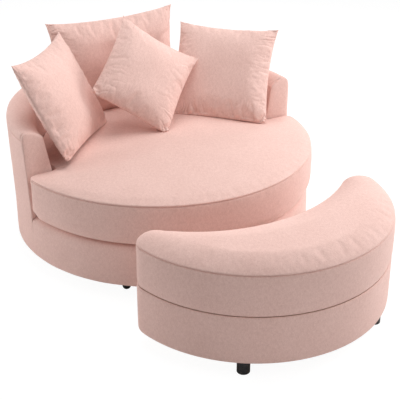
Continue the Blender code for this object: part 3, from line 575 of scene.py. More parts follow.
# %% Filling a cushion
def fill_out(piece, pressure, frames, most, spare, held, bend=0.4, stiff=15.0):
    """Blows a closed piece out as cloth. most caps how far a point goes, and spare is extra cloth."""
    before = spots(piece)
    piece.vertex_groups.new(name="held").add(held, 1.0, "REPLACE")
    modifier = piece.modifiers.new("filling", "CLOTH")
    cloth = modifier.settings
    cloth.quality = 6
    cloth.mass = 0.15
    cloth.tension_stiffness = stiff
    cloth.compression_stiffness = stiff
    cloth.shear_stiffness = stiff / 3
    cloth.bending_stiffness = bend
    cloth.shrink_min = -spare
    cloth.use_pressure = True
    cloth.uniform_pressure_force = pressure
    cloth.effector_weights.gravity = 0
    cloth.vertex_group_mass = "held"
    modifier.point_cache.frame_start = 1
    modifier.point_cache.frame_end = frames
    for moment in range(1, frames + 1):
        bpy.context.scene.frame_set(moment)
    filled = piece.evaluated_get(bpy.context.evaluated_depsgraph_get())
    moved = triples(filled.data.vertices, "co") - before
    piece.modifiers.clear()
    piece.vertex_groups.clear()
    bpy.context.scene.frame_set(1)
    far = np.linalg.norm(moved, axis=1, keepdims=True)
    set_spots(piece, before + moved * np.minimum(1.0, most / np.maximum(far, 1e-9)))
    print(piece.name, "filled, moved up to", round(float(far.max()) * 1000, 1), "mm")



# %% [markdown]
# Each finished piece is handed over in the same way. It rides on a moving body, has a finish, and
# takes the place of a imported piece that is hidden for it. A step of subdivision stays live on the
# soft ones, which is lighter to work with than a dense mesh.


# %% Handing a piece over
def rounder(piece):
    """One step of subdivision, with the same level in the view and the render."""
    smooth = piece.modifiers.new("rounder", "SUBSURF")
    smooth.levels = 1
    smooth.render_levels = 1


def applied(piece):
    """Makes a piece's live modifiers part of its mesh."""
    graph = bpy.context.evaluated_depsgraph_get()
    piece.data = bpy.data.meshes.new_from_object(piece.evaluated_get(graph))
    piece.modifiers.clear()


def dress(piece, body, node):
    """Sets the body that a piece rides on, and hides the imported piece that it stands for."""
    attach(piece, body)
    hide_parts(node)


print("bodies to ride on", ", ".join(sorted(frame["bodies"])))

# %% [markdown]
# A boxed cushion has three cuts of cloth: an underside, an upright band, and a crowned top that is
# sewn to the band along one seam. A rounded block would show no seam. So the band is rows of
# squares, one ring of points for each height and inset, and the top is a panel of triangles that
# starts from the last ring.

# %% Boxed cushions
PANEL_MARGIN = 0.6
CROWN_INSETS = (0.009, 0.016)


def boxed_cushion(name, plan, rows, crown, pitch, slot):
    """A cushion from a plan function, rows of (height, inset), and a crown by distance to the edge.

    Gives the piece and the number of points in each ring.
    """
    rings = [plan(inset) for _, inset in rows]
    count = len(rings[0])
    points = [(x, y, z) for ring, (z, _) in zip(rings, rows) for x, y in ring]
    places, triangles, gap = panel(rings[-1], pitch, pitch * PANEL_MARGIN)
    points += [(x, y, crown(d + rows[-1][1])) for (x, y), d in zip(places[count:], gap[count:])]
    top = (len(rows) - 1) * count
    cuts = tube_cuts(way_round(rings[0]), way_round(rows)[:-1])
    cuts.append(([[top + k for k in t] for t in triangles], {top + k: p for k, p in enumerate(places)}))
    cuts.append((closed_over(rings[0], 0, True), rings[0]))
    return cloth_mesh(name, points, cuts, slot), count


def crown_rows(seam, below, above, crown, proud, last):
    """Rows of a seam's groove, of the roll above it and of a crown's first stretch.

    Both lists hold heights from the seam with their insets, and the first one ends at the seam.
    """
    rows = [(seam + height, inset) for height, inset in below + above]
    rows += [(crown(inset) + proud, inset) for inset in CROWN_INSETS]
    return rows + [(crown(last), last)]


print("boxed cushions ready")

# %% [markdown]
# At a sewn seam the cloth is drawn together, and small gathers run away from it on both sides.
# They are finer than the simulation's own folds, so they are added to the filled cushion: noise
# that depends only on the nearest place of the seam, fading with the distance from it. The seam
# itself is kept sharp with a crease, which subdivision doesn't round off.

# %% Seams and gathers
GATHER_REACH, GATHER_START = 0.016, 0.3
FINE_GATHER, WIDE_GATHER = 0.013, 0.031
FILL_FRAMES, FILL_MOST = 16, 0.009
HELD_BELOW, HELD_ABOVE = 1, 3


def ripple(place, size=1.0):
    """Smooth noise between about -1 and 1, whose lumps have a size."""
    return noise.noise(Vector(place) / size)


def crease(piece, *firsts, count):
    """Keeps rings of edges sharp under subdivision. Each ring starts at one of the given points."""
    rings = [set(range(first, first + count)) for first in firsts]
    sharp = np.zeros(len(piece.data.edges))
    for edge in piece.data.edges:
        a, b = edge.vertices
        if any(a in ring and b in ring for ring in rings):
            sharp[edge.index] = 1.0
    layer = piece.data.attributes.new("crease_edge", "FLOAT", "EDGE")
    layer.data.foreach_set("value", sharp)


def pucker(piece, first, count, depth):
    """Small gathers beside a seam that runs through a ring of points."""
    points, normals = spots(piece), normals_of(piece)
    seam = points[first : first + count]
    for k, point in enumerate(points):
        far = np.linalg.norm(seam - point, axis=1)
        near = float(far.min())
        if near < 4 * GATHER_REACH:
            where = seam[int(far.argmin())]
            wave = ripple(where, FINE_GATHER) + 0.6 * ripple(where, WIDE_GATHER)
            share = math.exp(-near / GATHER_REACH) * min(1.0, near / (GATHER_START * GATHER_REACH))
            points[k] = point + normals[k] * depth * wave * share
    set_spots(piece, points)


def filled_cushion(name, plan, rows, seam, crown, pitch, firm, pressure, spare, depth):
    """A boxed cushion blown out between its first firm rows and its seam row, with gathers there."""
    cushion, ring = boxed_cushion(name, plan, rows, crown, pitch, "blush_chenille")
    held = [*range(firm * ring), *range((seam - HELD_BELOW) * ring, (seam + HELD_ABOVE + 1) * ring)]
    fill_out(cushion, pressure, FILL_FRAMES, FILL_MOST, spare, held)
    pucker(cushion, seam * ring, ring, depth)
    crease(cushion, seam * ring, count=ring)
    return cushion


print("gathers reach", GATHER_REACH, "m from a seam")

# %% [markdown]
# The seat cushion is a thick disc. Behind it follows the wall, and in front it is wider, with two
# ears that reach across the arms. A plain disc would leave gaps there, so its plan is drawn from
# arcs: the front, the round tip of an ear, the round notch behind it, and the rear.

# %% Seat cushion
DRUM, WALL_IN, ARM_FACE = 0.640, 0.529, -0.0502
EAR, NOTCH = 0.032, 0.020
SEAT_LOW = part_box("seat_cushion")[0].z
SEAT_BOTTOM_SEAM, SEAT_SEAM, SEAT_CROWN, CROWN_REACH = 0.276, 0.420, 0.056, 0.62
SEAT_TUCK, SEAT_LIP, LIP_REACH = 0.030, 0.0045, 0.006
OVERHANG, WALL_GAP, ARM_GAP = 0.012, 0.009, 0.003
BAND_STEP, BAND_INSET = 0.0125, 0.002


def seat_plan(inset):
    front, rear = DRUM + OVERHANG - inset, WALL_IN - WALL_GAP - inset
    line = ARM_FACE - ARM_GAP - inset
    ear_y, notch_y = line - EAR, line + NOTCH
    ear_x = math.sqrt((front - EAR) ** 2 - ear_y**2)
    notch_x = math.sqrt((rear + NOTCH) ** 2 - notch_y**2)
    ear_turn = math.degrees(math.atan2(ear_x, -ear_y))
    notch_turn = math.degrees(math.atan2(notch_x, -notch_y))
    half = arc(0, front, 0, ear_turn, 72)
    half += [(x + ear_x, y + ear_y) for x, y in arc(0, EAR, ear_turn, 180, 10)]
    half += [(notch_x - x, y + notch_y) for x, y in arc(0, NOTCH, 0, 180 - notch_turn, 6)]
    half += arc(0, rear, notch_turn, 180, 62) + [(0.0, rear)]
    return mirrored(half)


def seam_lip(gap):
    """How far cloth stands up beside a seam, at a distance from it."""
    return 1 - math.exp(-gap / LIP_REACH)


def seat_rise(gap):
    crown = 1 - max(0.0, 1 - gap / CROWN_REACH) ** 2.4
    return SEAT_SEAM + SEAT_CROWN * crown + SEAT_LIP * seam_lip(gap)


underside = SEAT_BOTTOM_SEAM - SEAT_LOW
seat_rows = [
    (SEAT_LOW, SEAT_TUCK),
    (SEAT_LOW + 0.3 * underside, 0.4 * SEAT_TUCK),
    (SEAT_LOW + 0.7 * underside, 0.012),
    (SEAT_BOTTOM_SEAM, 0.005),
]
seat_rows += [(SEAT_BOTTOM_SEAM + BAND_STEP * i, BAND_INSET) for i in range(1, 11)]
below = [(-0.010, 0.0008), (-0.0045, 0.0012), (-0.0016, 0.0028), (0.0, 0.0078)]
above = [(0.0020, 0.0030), (0.0055, 0.0022), (0.0085, 0.0042)]
seat_seam_row = len(seat_rows) + len(below) - 1
seat_rows += crown_rows(SEAT_SEAM, below, above, seat_rise, 0.0012, 0.026)
seat_cushion = filled_cushion(
    "seat_cushion_cloth",
    seat_plan,
    seat_rows,
    seat_seam_row,
    seat_rise,
    pitch=0.014,
    firm=4,
    pressure=1.2,
    spare=0.005,
    depth=0.0016,
)
set_spots(seat_cushion, spots(seat_cushion) + np.array(CHAIR))
rounder(seat_cushion)
dress(seat_cushion, "seat", "seat_cushion")
seat_points = spots(seat_cushion)
print("seat cushion", len(seat_points), "points, crown", round(float(seat_points[:, 2].max()), 4))

# %% [markdown]
# A tight cover over a board is a strip of cloth that is carried round the chair's axis. A modifier
# could spin it, but the mesh is made point by point, so that each point also gets its cloth place.
# Each cover is one profile of radius and height, swept through an angle. Its ends are kept sharp,
# so that the next cover meets them closely.

# %% Swept covers
SWEPT_PITCH = 0.012
# two radii that stand for every cover's own: for the number of steps, and for the way along the cloth
SWEEP_RADIUS, CLOTH_RADIUS = 0.6, 0.64


def fine(profile, pitch):
    """A closed profile with points added, so that no side is longer than the pitch."""
    made = []
    for here, there in zip(profile, profile[1:] + profile[:1]):
        steps = max(1, math.ceil(math.dist(here, there) / pitch))
        for i in range(steps):
            made.append(tuple(a + (b - a) * i / steps for a, b in zip(here, there)))
    return made


def corner(centre, radius, start, end, count):
    """Profile points of an arc about a centre, in degrees."""
    turns = [math.radians(start + (end - start) * i / count) for i in range(count + 1)]
    return [(centre[0] + radius * math.cos(t), centre[1] + radius * math.sin(t)) for t in turns]


def swept_cover(name, profile, start, end):
    """A profile carried round the chair's axis from one plan angle to another, and closed there."""
    profile = fine(profile, SWEPT_PITCH)
    width = len(profile)
    steps = math.ceil(math.radians(end - start) * SWEEP_RADIUS / SWEPT_PITCH)
    angles = [start + (end - start) * i / steps for i in range(steps + 1)]
    points = [around(r, angle, z) for angle in angles for r, z in profile]
    lengths = [math.radians(angle) * CLOTH_RADIUS for angle in angles]
    ends = closed_over(profile, 0, True) + closed_over(profile, steps * width)
    cuts = tube_cuts(way_round(profile), lengths, swap=True)
    cuts.append((ends, {k: profile[k % width] for face in ends for k in face}))
    return cloth_mesh(name, points, cuts, "blush_chenille")


def tight_cover(cover, profile, node):
    """Keeps both ends of a swept cover from rounding off, and hands it over."""
    width = len(fine(profile, SWEPT_PITCH))
    crease(cover, 0, len(cover.data.vertices) - width, count=width)
    rounder(cover)
    dress(cover, "seat", node)


print("covers are swept in steps of", SWEPT_PITCH, "m")

# %% [markdown]
# Cloth that is stapled tight over a board still isn't a perfect cylinder: it keeps a slight
# waviness, which catches the light. A simulation would find almost nothing to move. So noise lifts
# the outside of each cover by about a millimetre, and leaves alone what lies against the frame.

# %% Stretched cloth
WAVES_GROW = 0.008


def stretch_waves(piece, depth, size, near):
    """Lifts a cover into faint waves, where the near function of a point allows it."""
    points = spots(piece)
    for k, (point, normal) in enumerate(zip(points, normals_of(piece))):
        wave = ripple(point, size) + 0.4 * ripple(point, size * 0.35)
        points[k] = point + normal * depth * wave * near(point)
    set_spots(piece, points)


def plan_radius(point):
    return math.hypot(point[0] - CHAIR.x, point[1] - CHAIR.y)


def share_past(reach):
    """0 up to a limit, growing to 1 a little way past it."""
    return min(1.0, max(0.0, reach / WAVES_GROW))


print("waves of", [round(ripple((x, 0.2, 0.3)), 2) for x in (0.1, 0.5, 0.9)], "at three places")

# %% [markdown]
# The drum's front is a bent board with a deck on top, and one strip of cloth covers both: it
# starts inside the hem, climbs the board and rolls over the ledge, where the seat cushion lies. It
# ends at the two arms.

# %% Drum cover
BOARD_OUT = 0.6283
LEDGE, LEDGE_ROLL, HEM, HEM_TURN, HEM_IN = 0.242, 0.030, 0.065, 0.005, 0.007
DECK, DECK_IN = 0.2253, DRUM - 0.062
FRONT_SWELL, FRONT_OUT = 0.0015, DRUM + 0.001
ARM_ANGLE, ARM_END, PARTING = 85.5, 87.77, 0.03


def off_board(point):
    """1 where a point is well outside the board under the cloth, and 0 against it."""
    return share_past(plan_radius(point) - BOARD_OUT - 0.001)


hem = [(BOARD_OUT, HEM), (DRUM - HEM_IN, HEM)]
hem += corner((DRUM - HEM_TURN, HEM + HEM_TURN), HEM_TURN, -70, 0, 3)
profile = hem + [(FRONT_OUT, HEM + 0.06), (DRUM + FRONT_SWELL, LEDGE - 0.07)]
profile += corner((DRUM - LEDGE_ROLL, LEDGE - LEDGE_ROLL), LEDGE_ROLL, 0, 90, 8)
profile += [(DECK_IN, LEDGE), (DECK_IN, DECK), (BOARD_OUT, DECK)]
front_cover = swept_cover("drum_front_cloth", profile, -ARM_ANGLE + PARTING, ARM_ANGLE - PARTING)
stretch_waves(front_cover, 0.0014, 0.11, off_board)
tight_cover(front_cover, profile, "drum_front_cover")
print("drum cover", len(front_cover.data.vertices), "points")

# %% [markdown]
# The outside of the back is one strip from the hem up to the roll, a little wider at the top, from
# one arm round to the other. The front of the arm at the photograph's left leans back slightly
# towards its top, and both arms are made so. A cover with upright ends would stick out there, so
# its ends are turned back by the same lean, which fades out along the wall.

# %% Back cover
WALL_TOP, ROLL_BASE, WALL_OUT = 0.617, 0.571, 0.650
FLARE_FROM, FLARE_OUT = 0.40, DRUM + 0.0048
ARM_LEAN, LEAN_FROM, LEAN_FADED = 1.4, 0.27, 103


def about_axis(points):
    """Offsets from the chair's axis, distances from it, and plan angles to either side of the front."""
    x, y = points[:, 0] - CHAIR.x, points[:, 1] - CHAIR.y
    return x, y, np.hypot(x, y), np.degrees(np.arctan2(np.abs(x), -y))


def lean_at(z):
    """How many degrees farther round the arm's front is at a height, because it leans back."""
    return ARM_LEAN * np.clip((z - LEAN_FROM) / (WALL_TOP - LEAN_FROM), 0, 1)


def lean_ends(piece):
    """Turns a wall cover's ends back by the arms' lean, fading out along the wall."""
    points = spots(piece)
    x, _, far, turn = about_axis(points)
    turn += lean_at(points[:, 2]) * np.clip((LEAN_FADED - turn) / (LEAN_FADED - ARM_ANGLE), 0, 1)
    points[:, 0] = CHAIR.x + np.copysign(far * np.sin(np.radians(turn)), x)
    points[:, 1] = CHAIR.y - far * np.cos(np.radians(turn))
    set_spots(piece, points)


cover_top = ROLL_BASE - 0.0004
profile = hem + [(FRONT_OUT, LEDGE), (FLARE_OUT, FLARE_FROM)]
profile += [(WALL_OUT, cover_top), (BOARD_OUT, cover_top)]
outer_cover = swept_cover("back_outer_cloth", profile, ARM_ANGLE, 360 - ARM_ANGLE)
lean_ends(outer_cover)
stretch_waves(outer_cover, 0.0014, 0.13, off_board)
tight_cover(outer_cover, profile, "back_outer_cover")
print("back cover", len(outer_cover.data.vertices), "points")

# %% [markdown]
# The inner wall is foam under cloth, so it is rounder than a cover. Its top is a roll, and its face
# swells a little above the cushion. Near the arms the photograph shows the roll sinking towards
# the seat and the wall growing thinner towards its top. One profile can't do both, so the finished
# sweep is bent there, and keeps its radius only where the frame stands behind it.

# %% Inner wall
ROLL_STEPS, ROLL_POWER = 18, 0.75
FRAME_IN, FOAM_IN = 0.5757, 0.55
FOAM_SWELL = ((0.006, 0.52), (0.008, 0.46), (0.006, 0.39), (0.0, DECK))
SHOULDER_FADED, SHOULDER_FULL = 106, ARM_ANGLE + 1.5
THIN_FROM, SLIMMING = 0.40, 0.037
SINK_OUTSIDE, SINK_INSIDE = 0.008, 0.024


def roll_top(top):
    """The wall's rounded top, from its outer edge over to its inner face."""
    middle, half, rise = (WALL_OUT + WALL_IN) / 2, (WALL_OUT - WALL_IN) / 2, top - ROLL_BASE
    made = []
    for i in range(ROLL_STEPS + 1):
        turn = math.pi * i / ROLL_STEPS
        across = math.copysign(abs(math.cos(turn)) ** ROLL_POWER, math.cos(turn))
        made.append((middle + half * across, ROLL_BASE + rise * math.sin(turn) ** ROLL_POWER))
    return made


def shoulder(piece, thin_from):
    """Near each arm's end the roll sinks, most along its inner edge, and the wall thins towards its top.

    Points farther out than thin_from keep their radius below the roll, where the frame stands behind them.
    """
    points = spots(piece)
    x, y, far, turn = about_axis(points)
    z = points[:, 2].copy()
    near = np.clip((SHOULDER_FADED - turn) / (SHOULDER_FADED - SHOULDER_FULL), 0, 1)
    near = near**2 * (3 - 2 * near)
    high = np.clip((z - ROLL_BASE) / (WALL_TOP - ROLL_BASE), 0, 1)
    inward = np.clip((WALL_OUT - far) / (WALL_OUT - WALL_IN), 0, 1)
    risen = np.clip((z - THIN_FROM) / (WALL_TOP - THIN_FROM), 0, 1)
    free = (far < thin_from) | (z > ROLL_BASE + 0.0005)
    outwards = near * (risen * inward * SLIMMING + np.maximum(WALL_IN - far, 0))
    stretch = 1 + np.where(free, outwards, 0.0) / far
    points[:, 0] = CHAIR.x + x * stretch
    points[:, 1] = CHAIR.y + y * stretch
    points[:, 2] -= near * high * (SINK_OUTSIDE + SINK_INSIDE * inward**1.5)
    set_spots(piece, points)


def foam_side(point):
    """1 on the wall's inner face and its roll, and 0 where it lies against the frame."""
    return 1.0 if plan_radius(point) < FOAM_IN or point[2] > ROLL_BASE + 0.01 else 0.0


profile = roll_top(WALL_TOP)
profile += [(WALL_IN - swell, z) for swell, z in FOAM_SWELL]
profile += [(FRAME_IN, DECK), (FRAME_IN, ROLL_BASE)]
inner_wall = swept_cover("back_inner_cloth", profile, ARM_END + 2 * PARTING, 360 - ARM_END - 2 * PARTING)
stretch_waves(inner_wall, 0.0022, 0.12, foam_side)
shoulder(inner_wall, FRAME_IN - 0.003)
tight_cover(inner_wall, profile, "back_inner_pad")
print("inner wall", len(inner_wall.data.vertices), "points")

# %% [markdown]
# Each arm ends in a boxed panel: an arch of cloth, sewn to a narrow rim all the way round. A flat
# cap would look cut off. So the arch is filled with even triangles and pushed forwards by its
# distance to the seam, the rim leans back as the covers do, and the panel's outer edge is carried
# out over the end of the back cover and up onto the drum's ledge.

# %% Arm fronts
ARM_PITCH, ARM_MARGIN = 0.008, 0.005
ARM_BULGE, BULGE_REACH = 0.004, 0.010
SEAM_PROUD, FACE_PROUD = 0.05, 0.20
ARM_BELOW = 0.002


def over_cover(r, z):
    """Carries a point of the arch out over the end of the outer cover, and up onto the drum's roll."""
    if z < LEDGE:
        across = min(max(r - (DRUM - LEDGE_ROLL), 0.0), LEDGE_ROLL)
        rolled = LEDGE - LEDGE_ROLL + math.sqrt(LEDGE_ROLL**2 - across**2)
        z = rolled + 0.0008 + 0.04 * (z - LEDGE)
    if r > BOARD_OUT - 0.0005 and z < ROLL_BASE:
        outside = (DRUM + 0.002, DRUM + 0.006, WALL_OUT + 0.001)
        r = float(np.interp(z, (LEDGE, FLARE_FROM, ROLL_BASE), outside))
    return r, z


def set_back(share, z):
    """The plan angle at a share of the panel's thickness, which its lean takes up towards the top."""
    return ARM_END - share * (ARM_END - ARM_ANGLE - float(lean_at(z)))


def before_arm(point):
    """1 in front of the arm's face, and 0 behind it."""
    return share_past(CHAIR.y + ARM_FACE + 0.018 - point[1])


def arm_front(node, side):
    """The boxed front of the arm on the chair's +X side, or with side -1 on the other."""
    arch = roll_top(WALL_TOP - ARM_BELOW)
    arch += [(WALL_IN, DECK), (BOARD_OUT, DECK), (BOARD_OUT, ROLL_BASE - ARM_BELOW)]
    narrow = fine(arch, ARM_PITCH)
    outline = np.array([over_cover(r, z) for r, z in narrow])
    count = len(outline)
    places, triangles, gap = panel(outline, ARM_PITCH, ARM_MARGIN)
    rims = [(0.0, 0.0, narrow), (0.5, 0.0, narrow), (0.97, 0.0, narrow)]
    rims += [(1.0, SEAM_PROUD, outline), (1.0, FACE_PROUD, outline)]
    points = []
    for share, proud, rim in rims:
        points += [around(r, side * (set_back(share, z) - proud), z) for r, z in rim]
    for (r, z), d in zip(places[count:], gap[count:]):
        lift = math.degrees(ARM_BULGE * (1 - math.exp(-d / BULGE_REACH)) / r)
        points.append(around(r, side * (set_back(1.0, z) - FACE_PROUD - lift), z))
    start = (len(rims) - 1) * count
    cuts = tube_cuts(ARM_PITCH * np.arange(count + 1), ARM_PITCH * np.arange(len(rims)))
    cuts.append(([[start + k for k in t] for t in triangles], {start + k: p for k, p in enumerate(places)}))
    cuts.append((closed_over(narrow, 0, True), narrow))
    front = cloth_mesh(node + "_cloth", points, cuts, "blush_chenille")
    shoulder(front, WALL_OUT)
    crease(front, start - count, start, count=count)
    stretch_waves(front, 0.0012, 0.075, before_arm)
    rounder(front)
    dress(front, "seat", node)
    return len(points)


arm_points = [arm_front("arm_front_panel_right", 1), arm_front("arm_front_panel_left", -1)]
print("arm fronts", arm_points, "points")

# %% [markdown]
# A throw pillow is two pieces of cloth sewn edge to edge and stuffed. Two flat sheets would need a
# long simulation to fill, so the panels start crowned, close to the pillow's form: the sides are
# drawn in, the corners stay behind as points, and the thickness falls to nothing at the seam. Each
# pillow's sizes and turns were read from the photograph.

# %% Pillow panels
PILLOW_PITCH, FULLNESS, EAR_POINT, RIM_WAVE = 0.0058, 0.42, 0.022, 0.0035

# size is the width, height and thickness, and turns are the facing, the lean and the roll in
# degrees. drawn says how far the middle of each edge is drawn in, as a share of the half size, and
# gathers how strongly it is gathered: at -X, +X, -Z and +Z of the pillow's own plane. tucked lists
# the corners that are tucked in and knotted, by their side in X and in Z.
PILLOWS = {
    "pillow_left": {
        "size": (0.444, 0.441, 0.135),
        "centre": (-0.39069, 0.12694, 0.66119),
        "turns": (41.3, 27.6, -1.3),
        "drawn": (-0.02, 0.04, 0.05, 0.10),
        "gathers": (1.0, 0.30, 1.0, 0.15),
        "tucked": [(-1, -1), (1, -1)],
    },
    "pillow_back": {
        "size": (0.602, 0.442, 0.150),
        "centre": (0.0, 0.41100, 0.65722),
        "turns": (-4.4, 8.6, -1.3),
        "drawn": (0.06, 0.06, 0.03, 0.075),
        "gathers": (0.7, 0.20, 0.4, 0.25),
        "tucked": [],
    },
    "pillow_front": {
        "size": (0.378, 0.414, 0.135),
        "centre": (-0.01505, 0.09836, 0.69313),
        "turns": (2.6, 39.2, 43.1),
        "drawn": (0.06, 0.06, 0.02, 0.10),
        "gathers": (0.9, 0.65, 1.0, 0.20),
        "tucked": [(-1, -1), (1, -1)],
    },
    "pillow_right": {
        "size": (0.444, 0.441, 0.135),
        "centre": (0.37270, 0.08194, 0.64073),
        "turns": (-38.8, 37.3, 3.1),
        "drawn": (0.03, 0.07, 0.02, 0.06),
        "gathers": (0.3, 0.80, 1.0, 0.20),
        "tucked": [(1, -1)],
    },
}


def evened(t):
    """Carries -1..1 to itself with closer steps near the ends, where a pillow is thin."""
    return 0.4 * t + 0.6 * math.sin(math.pi / 2 * t)


def panel_point(look, u, v, side, rim, seed):
    """A point of a crowned panel, from its place -1..1 across and up the pillow."""
    width, height, thickness = look["size"]
    left, right, below, above = look["drawn"]
    lumps = ripple((u * 1.6, v * 1.6, seed + side))
    gather = RIM_WAVE * ripple((u * 24, v * 24, seed)) if rim else 0.0
    ear = 1 + EAR_POINT * (u * u * v * v) ** 5
    x = width / 2 * u * ear * (1 - (left if u < 0 else right) * (1 - v * v))
    z = height / 2 * v * ear * (1 - (below if v < 0 else above) * (1 - u * u))
    depth = thickness / 2 * ((1 - u * u) * (1 - v * v)) ** FULLNESS * (0.9 + 0.12 * lumps)
    return x, side * depth + gather, z


def sewn_panels(node, seed):
    """Two crowned panels with one shared edge. Gives the piece and the points of that edge."""
    look = PILLOWS[node]
    across, up = int(look["size"][0] / PILLOW_PITCH), int(look["size"][1] / PILLOW_PITCH)
    points, index, rims = [], {}, []
    for side in (-1, 1):
        for row in range(up + 1):
            for column in range(across + 1):
                rim = row in (0, up) or column in (0, across)
                if rim and side == 1:
                    index[side, row, column] = index[-1, row, column]
                    continue
                if rim:
                    rims.append(len(points))
                index[side, row, column] = len(points)
                u, v = evened(2 * column / across - 1), evened(2 * row / up - 1)
                points.append(panel_point(look, u, v, side, rim, seed))
    cuts = []
    for side in (-1, 1):
        faces = []
        for row in range(up):
            for column in range(across):
                ring = [(row, column), (row, column + 1), (row + 1, column + 1), (row + 1, column)]
                faces.append([index[side, r, c] for r, c in ring[::-side]])
        cuts.append((faces, {k: (points[k][0], points[k][2]) for face in faces for k in face}))
    return cloth_mesh(node + "_cloth", points, cuts, "blush_chenille_pillow"), rims


print("pillows", ", ".join(PILLOWS))

# %% [markdown]
# A stuffed pillow's edge is shorter than its face, so narrow folds run in from it, and some of its
# corners are tucked in and tied to a small knot. The cloth of the simulation is too coarse for
# them. They are pressed in by a formula afterwards: noise along the edge whose zero lines are the
# valleys, and at a knot a small lump with a hollow round it.

# %% Folds and knots
FOLD_SPACING, FOLD_DEPTH, FOLD_REACH, FOLD_START = 0.026, 0.0075, 0.055, 0.008
FOLD_BEND, FOLD_WEAKEST = 0.010, 0.1
VALLEY, VALLEY_POWER = 0.20, 1.5
KNOT, KNOT_SIZE, KNOT_RING, KNOT_HOLLOW, KNOT_THICK = 0.011, 0.016, 2.1, 0.55, 0.005
TUCK_IN, TUCK_SIZE = 0.003, 0.030
TIP_IN, TIP_SIZE = 0.008, 0.015


def hump(far, size):
    """1 at a place, falling smoothly to 0 over a size."""
    return math.exp(-((far / size) ** 2))


def fold_lift(edge, along, span, pair, side, seed):
    """The folds of two opposite edges: edge is the place -1..1 across the pillow, and along the way."""
    gap = max(0.0, (0.93 + 0.07 * (along / (span / 2)) ** 2 - abs(edge)) * span / 2)
    bent = along + FOLD_BEND * ripple((along / 0.05, gap / 0.03, seed + span))
    value = ripple((bent / FOLD_SPACING, edge * 1.5, seed + side + span * 7))
    valley = max(0.0, 1 - abs(value) / VALLEY) ** VALLEY_POWER
    share = pair[0] if edge < 0 else pair[1]
    strong = share * max(FOLD_WEAKEST, 0.65 + 1.5 * ripple((along / 0.10, edge, seed + span)))
    fade = math.exp(-((gap / FOLD_REACH) ** 1.5)) * min(1.0, gap / FOLD_START)
    return strong * fade * (1.2 * value - valley)


def gathered(points, look, seed):
    """Presses narrow folds in from a pillow's edges and ties a small knot of cloth at some corners."""
    (width, height, _), shares = look["size"], look["gathers"]
    made = points.copy()
    for k, (x, y, z) in enumerate(points):
        u, v = x / (width / 2), z / (height / 2)
        side = 1.0 if y >= 0 else -1.0
        lift = fold_lift(u, z, width, shares[:2], side, seed)
        lift += fold_lift(v, x, height, shares[2:], side, seed)
        made[k, 1] = y + side * FOLD_DEPTH * lift
        for corner_x, corner_z in look["tucked"]:
            tip = math.hypot((corner_x - u) * width / 2, (corner_z - v) * height / 2)
            pull = TUCK_IN * hump(tip, TUCK_SIZE) + TIP_IN * hump(tip, TIP_SIZE)
            knot = hump(tip, KNOT_SIZE) * (1 + 0.5 * ripple((x / 0.012, z / 0.012, seed)))
            knot -= KNOT_HOLLOW * hump(tip / KNOT_SIZE - KNOT_RING, 0.5)
            thick = min(1.0, abs(y) / KNOT_THICK)
            made[k] += np.array((-corner_x * pull, side * thick * KNOT * knot, -corner_z * pull))
    return made


print("folds every", FOLD_SPACING, "m, up to", FOLD_DEPTH, "m deep")

# %% [markdown]
# The pillows lean against the wall and each other, and the foam gives where they touch. A
# simulation of all four together would take minutes and settle where it likes. So each one is
# filled by itself, brought to its measured thickness, set at its place, and pressed flat where it
# would lie inside the cushion, the wall or the pillow behind it.

# %% Throw pillows
CLEAR, DEEPEST, FIRST_SEED = 0.001, 0.05, 10.0


def pressed(piece, *carriers):
    """Flattens a soft piece where it would lie inside what carries it."""
    points = spots(piece)
    moved = 0
    for carrier in carriers:
        work = bmesh.new()
        work.from_mesh(carrier.data)
        tree = BVHTree.FromBMesh(work)
        work.free()
        for k, point in enumerate(points):
            near, normal, _, _ = tree.find_nearest(Vector(point), DEEPEST)
            if near is not None and (Vector(point) - near).dot(normal) < CLEAR:
                points[k] = near + normal * CLEAR
                moved += 1
    set_spots(piece, points)
    print(piece.name, "pressed at", moved, "points")


def stuffed_pillow(node, seed):
    look = PILLOWS[node]
    pillow, rims = sewn_panels(node, seed)
    fill_out(pillow, pressure=4.0, frames=18, most=0.016, spare=0.020, held=rims, bend=0.12, stiff=20.0)
    rounder(pillow)
    applied(pillow)
    points = spots(pillow)
    points[:, 1] *= look["size"][2] / np.ptp(points[:, 1])
    points = gathered(points, look, seed)
    facing, lean, roll = look["turns"]
    place = Matrix.Translation(Vector(look["centre"]) + CHAIR)
    for degrees, axis in ((facing, "Z"), (-lean, "X"), (roll, "Y")):
        place = place @ Matrix.Rotation(math.radians(degrees), 4, axis)
    place = np.array(place)
    set_spots(pillow, points @ place[:3, :3].T + place[:3, 3])
    return pillow


pillows = {node: stuffed_pillow(node, FIRST_SEED + i) for i, node in enumerate(PILLOWS)}
left, rear, front, right = pillows.values()
pressed(rear, inner_wall, seat_cushion)
pressed(left, inner_wall, seat_cushion, rear)
pressed(right, inner_wall, seat_cushion, rear)
pressed(front, seat_cushion, left, rear, right)
for node, pillow in pillows.items():
    dress(pillow, "seat", node)
print("pillows", [len(p.data.vertices) for p in pillows.values()], "points")

# %% [markdown]
# The ottoman is a half-moon box whose plan follows the chair's own curve on the near side. It could
# be cut from a disc by a larger disc, which would leave two knife-sharp tips. Its plan is drawn
# instead from an outer arc, an inner arc, and a round tip that touches both. It stands turned by
# 1.5 degrees, as in the photograph.

# %% Ottoman plan
OUTER_RADIUS, INNER_RADIUS, TIP, LEAST_TIP = 0.534, 0.652, 0.0735, 0.006
OUTER_Y, INNER_Y = -0.7065, -0.2245
OTTOMAN_TURN, OTTOMAN_SHIFT = math.radians(-1.5), -0.008


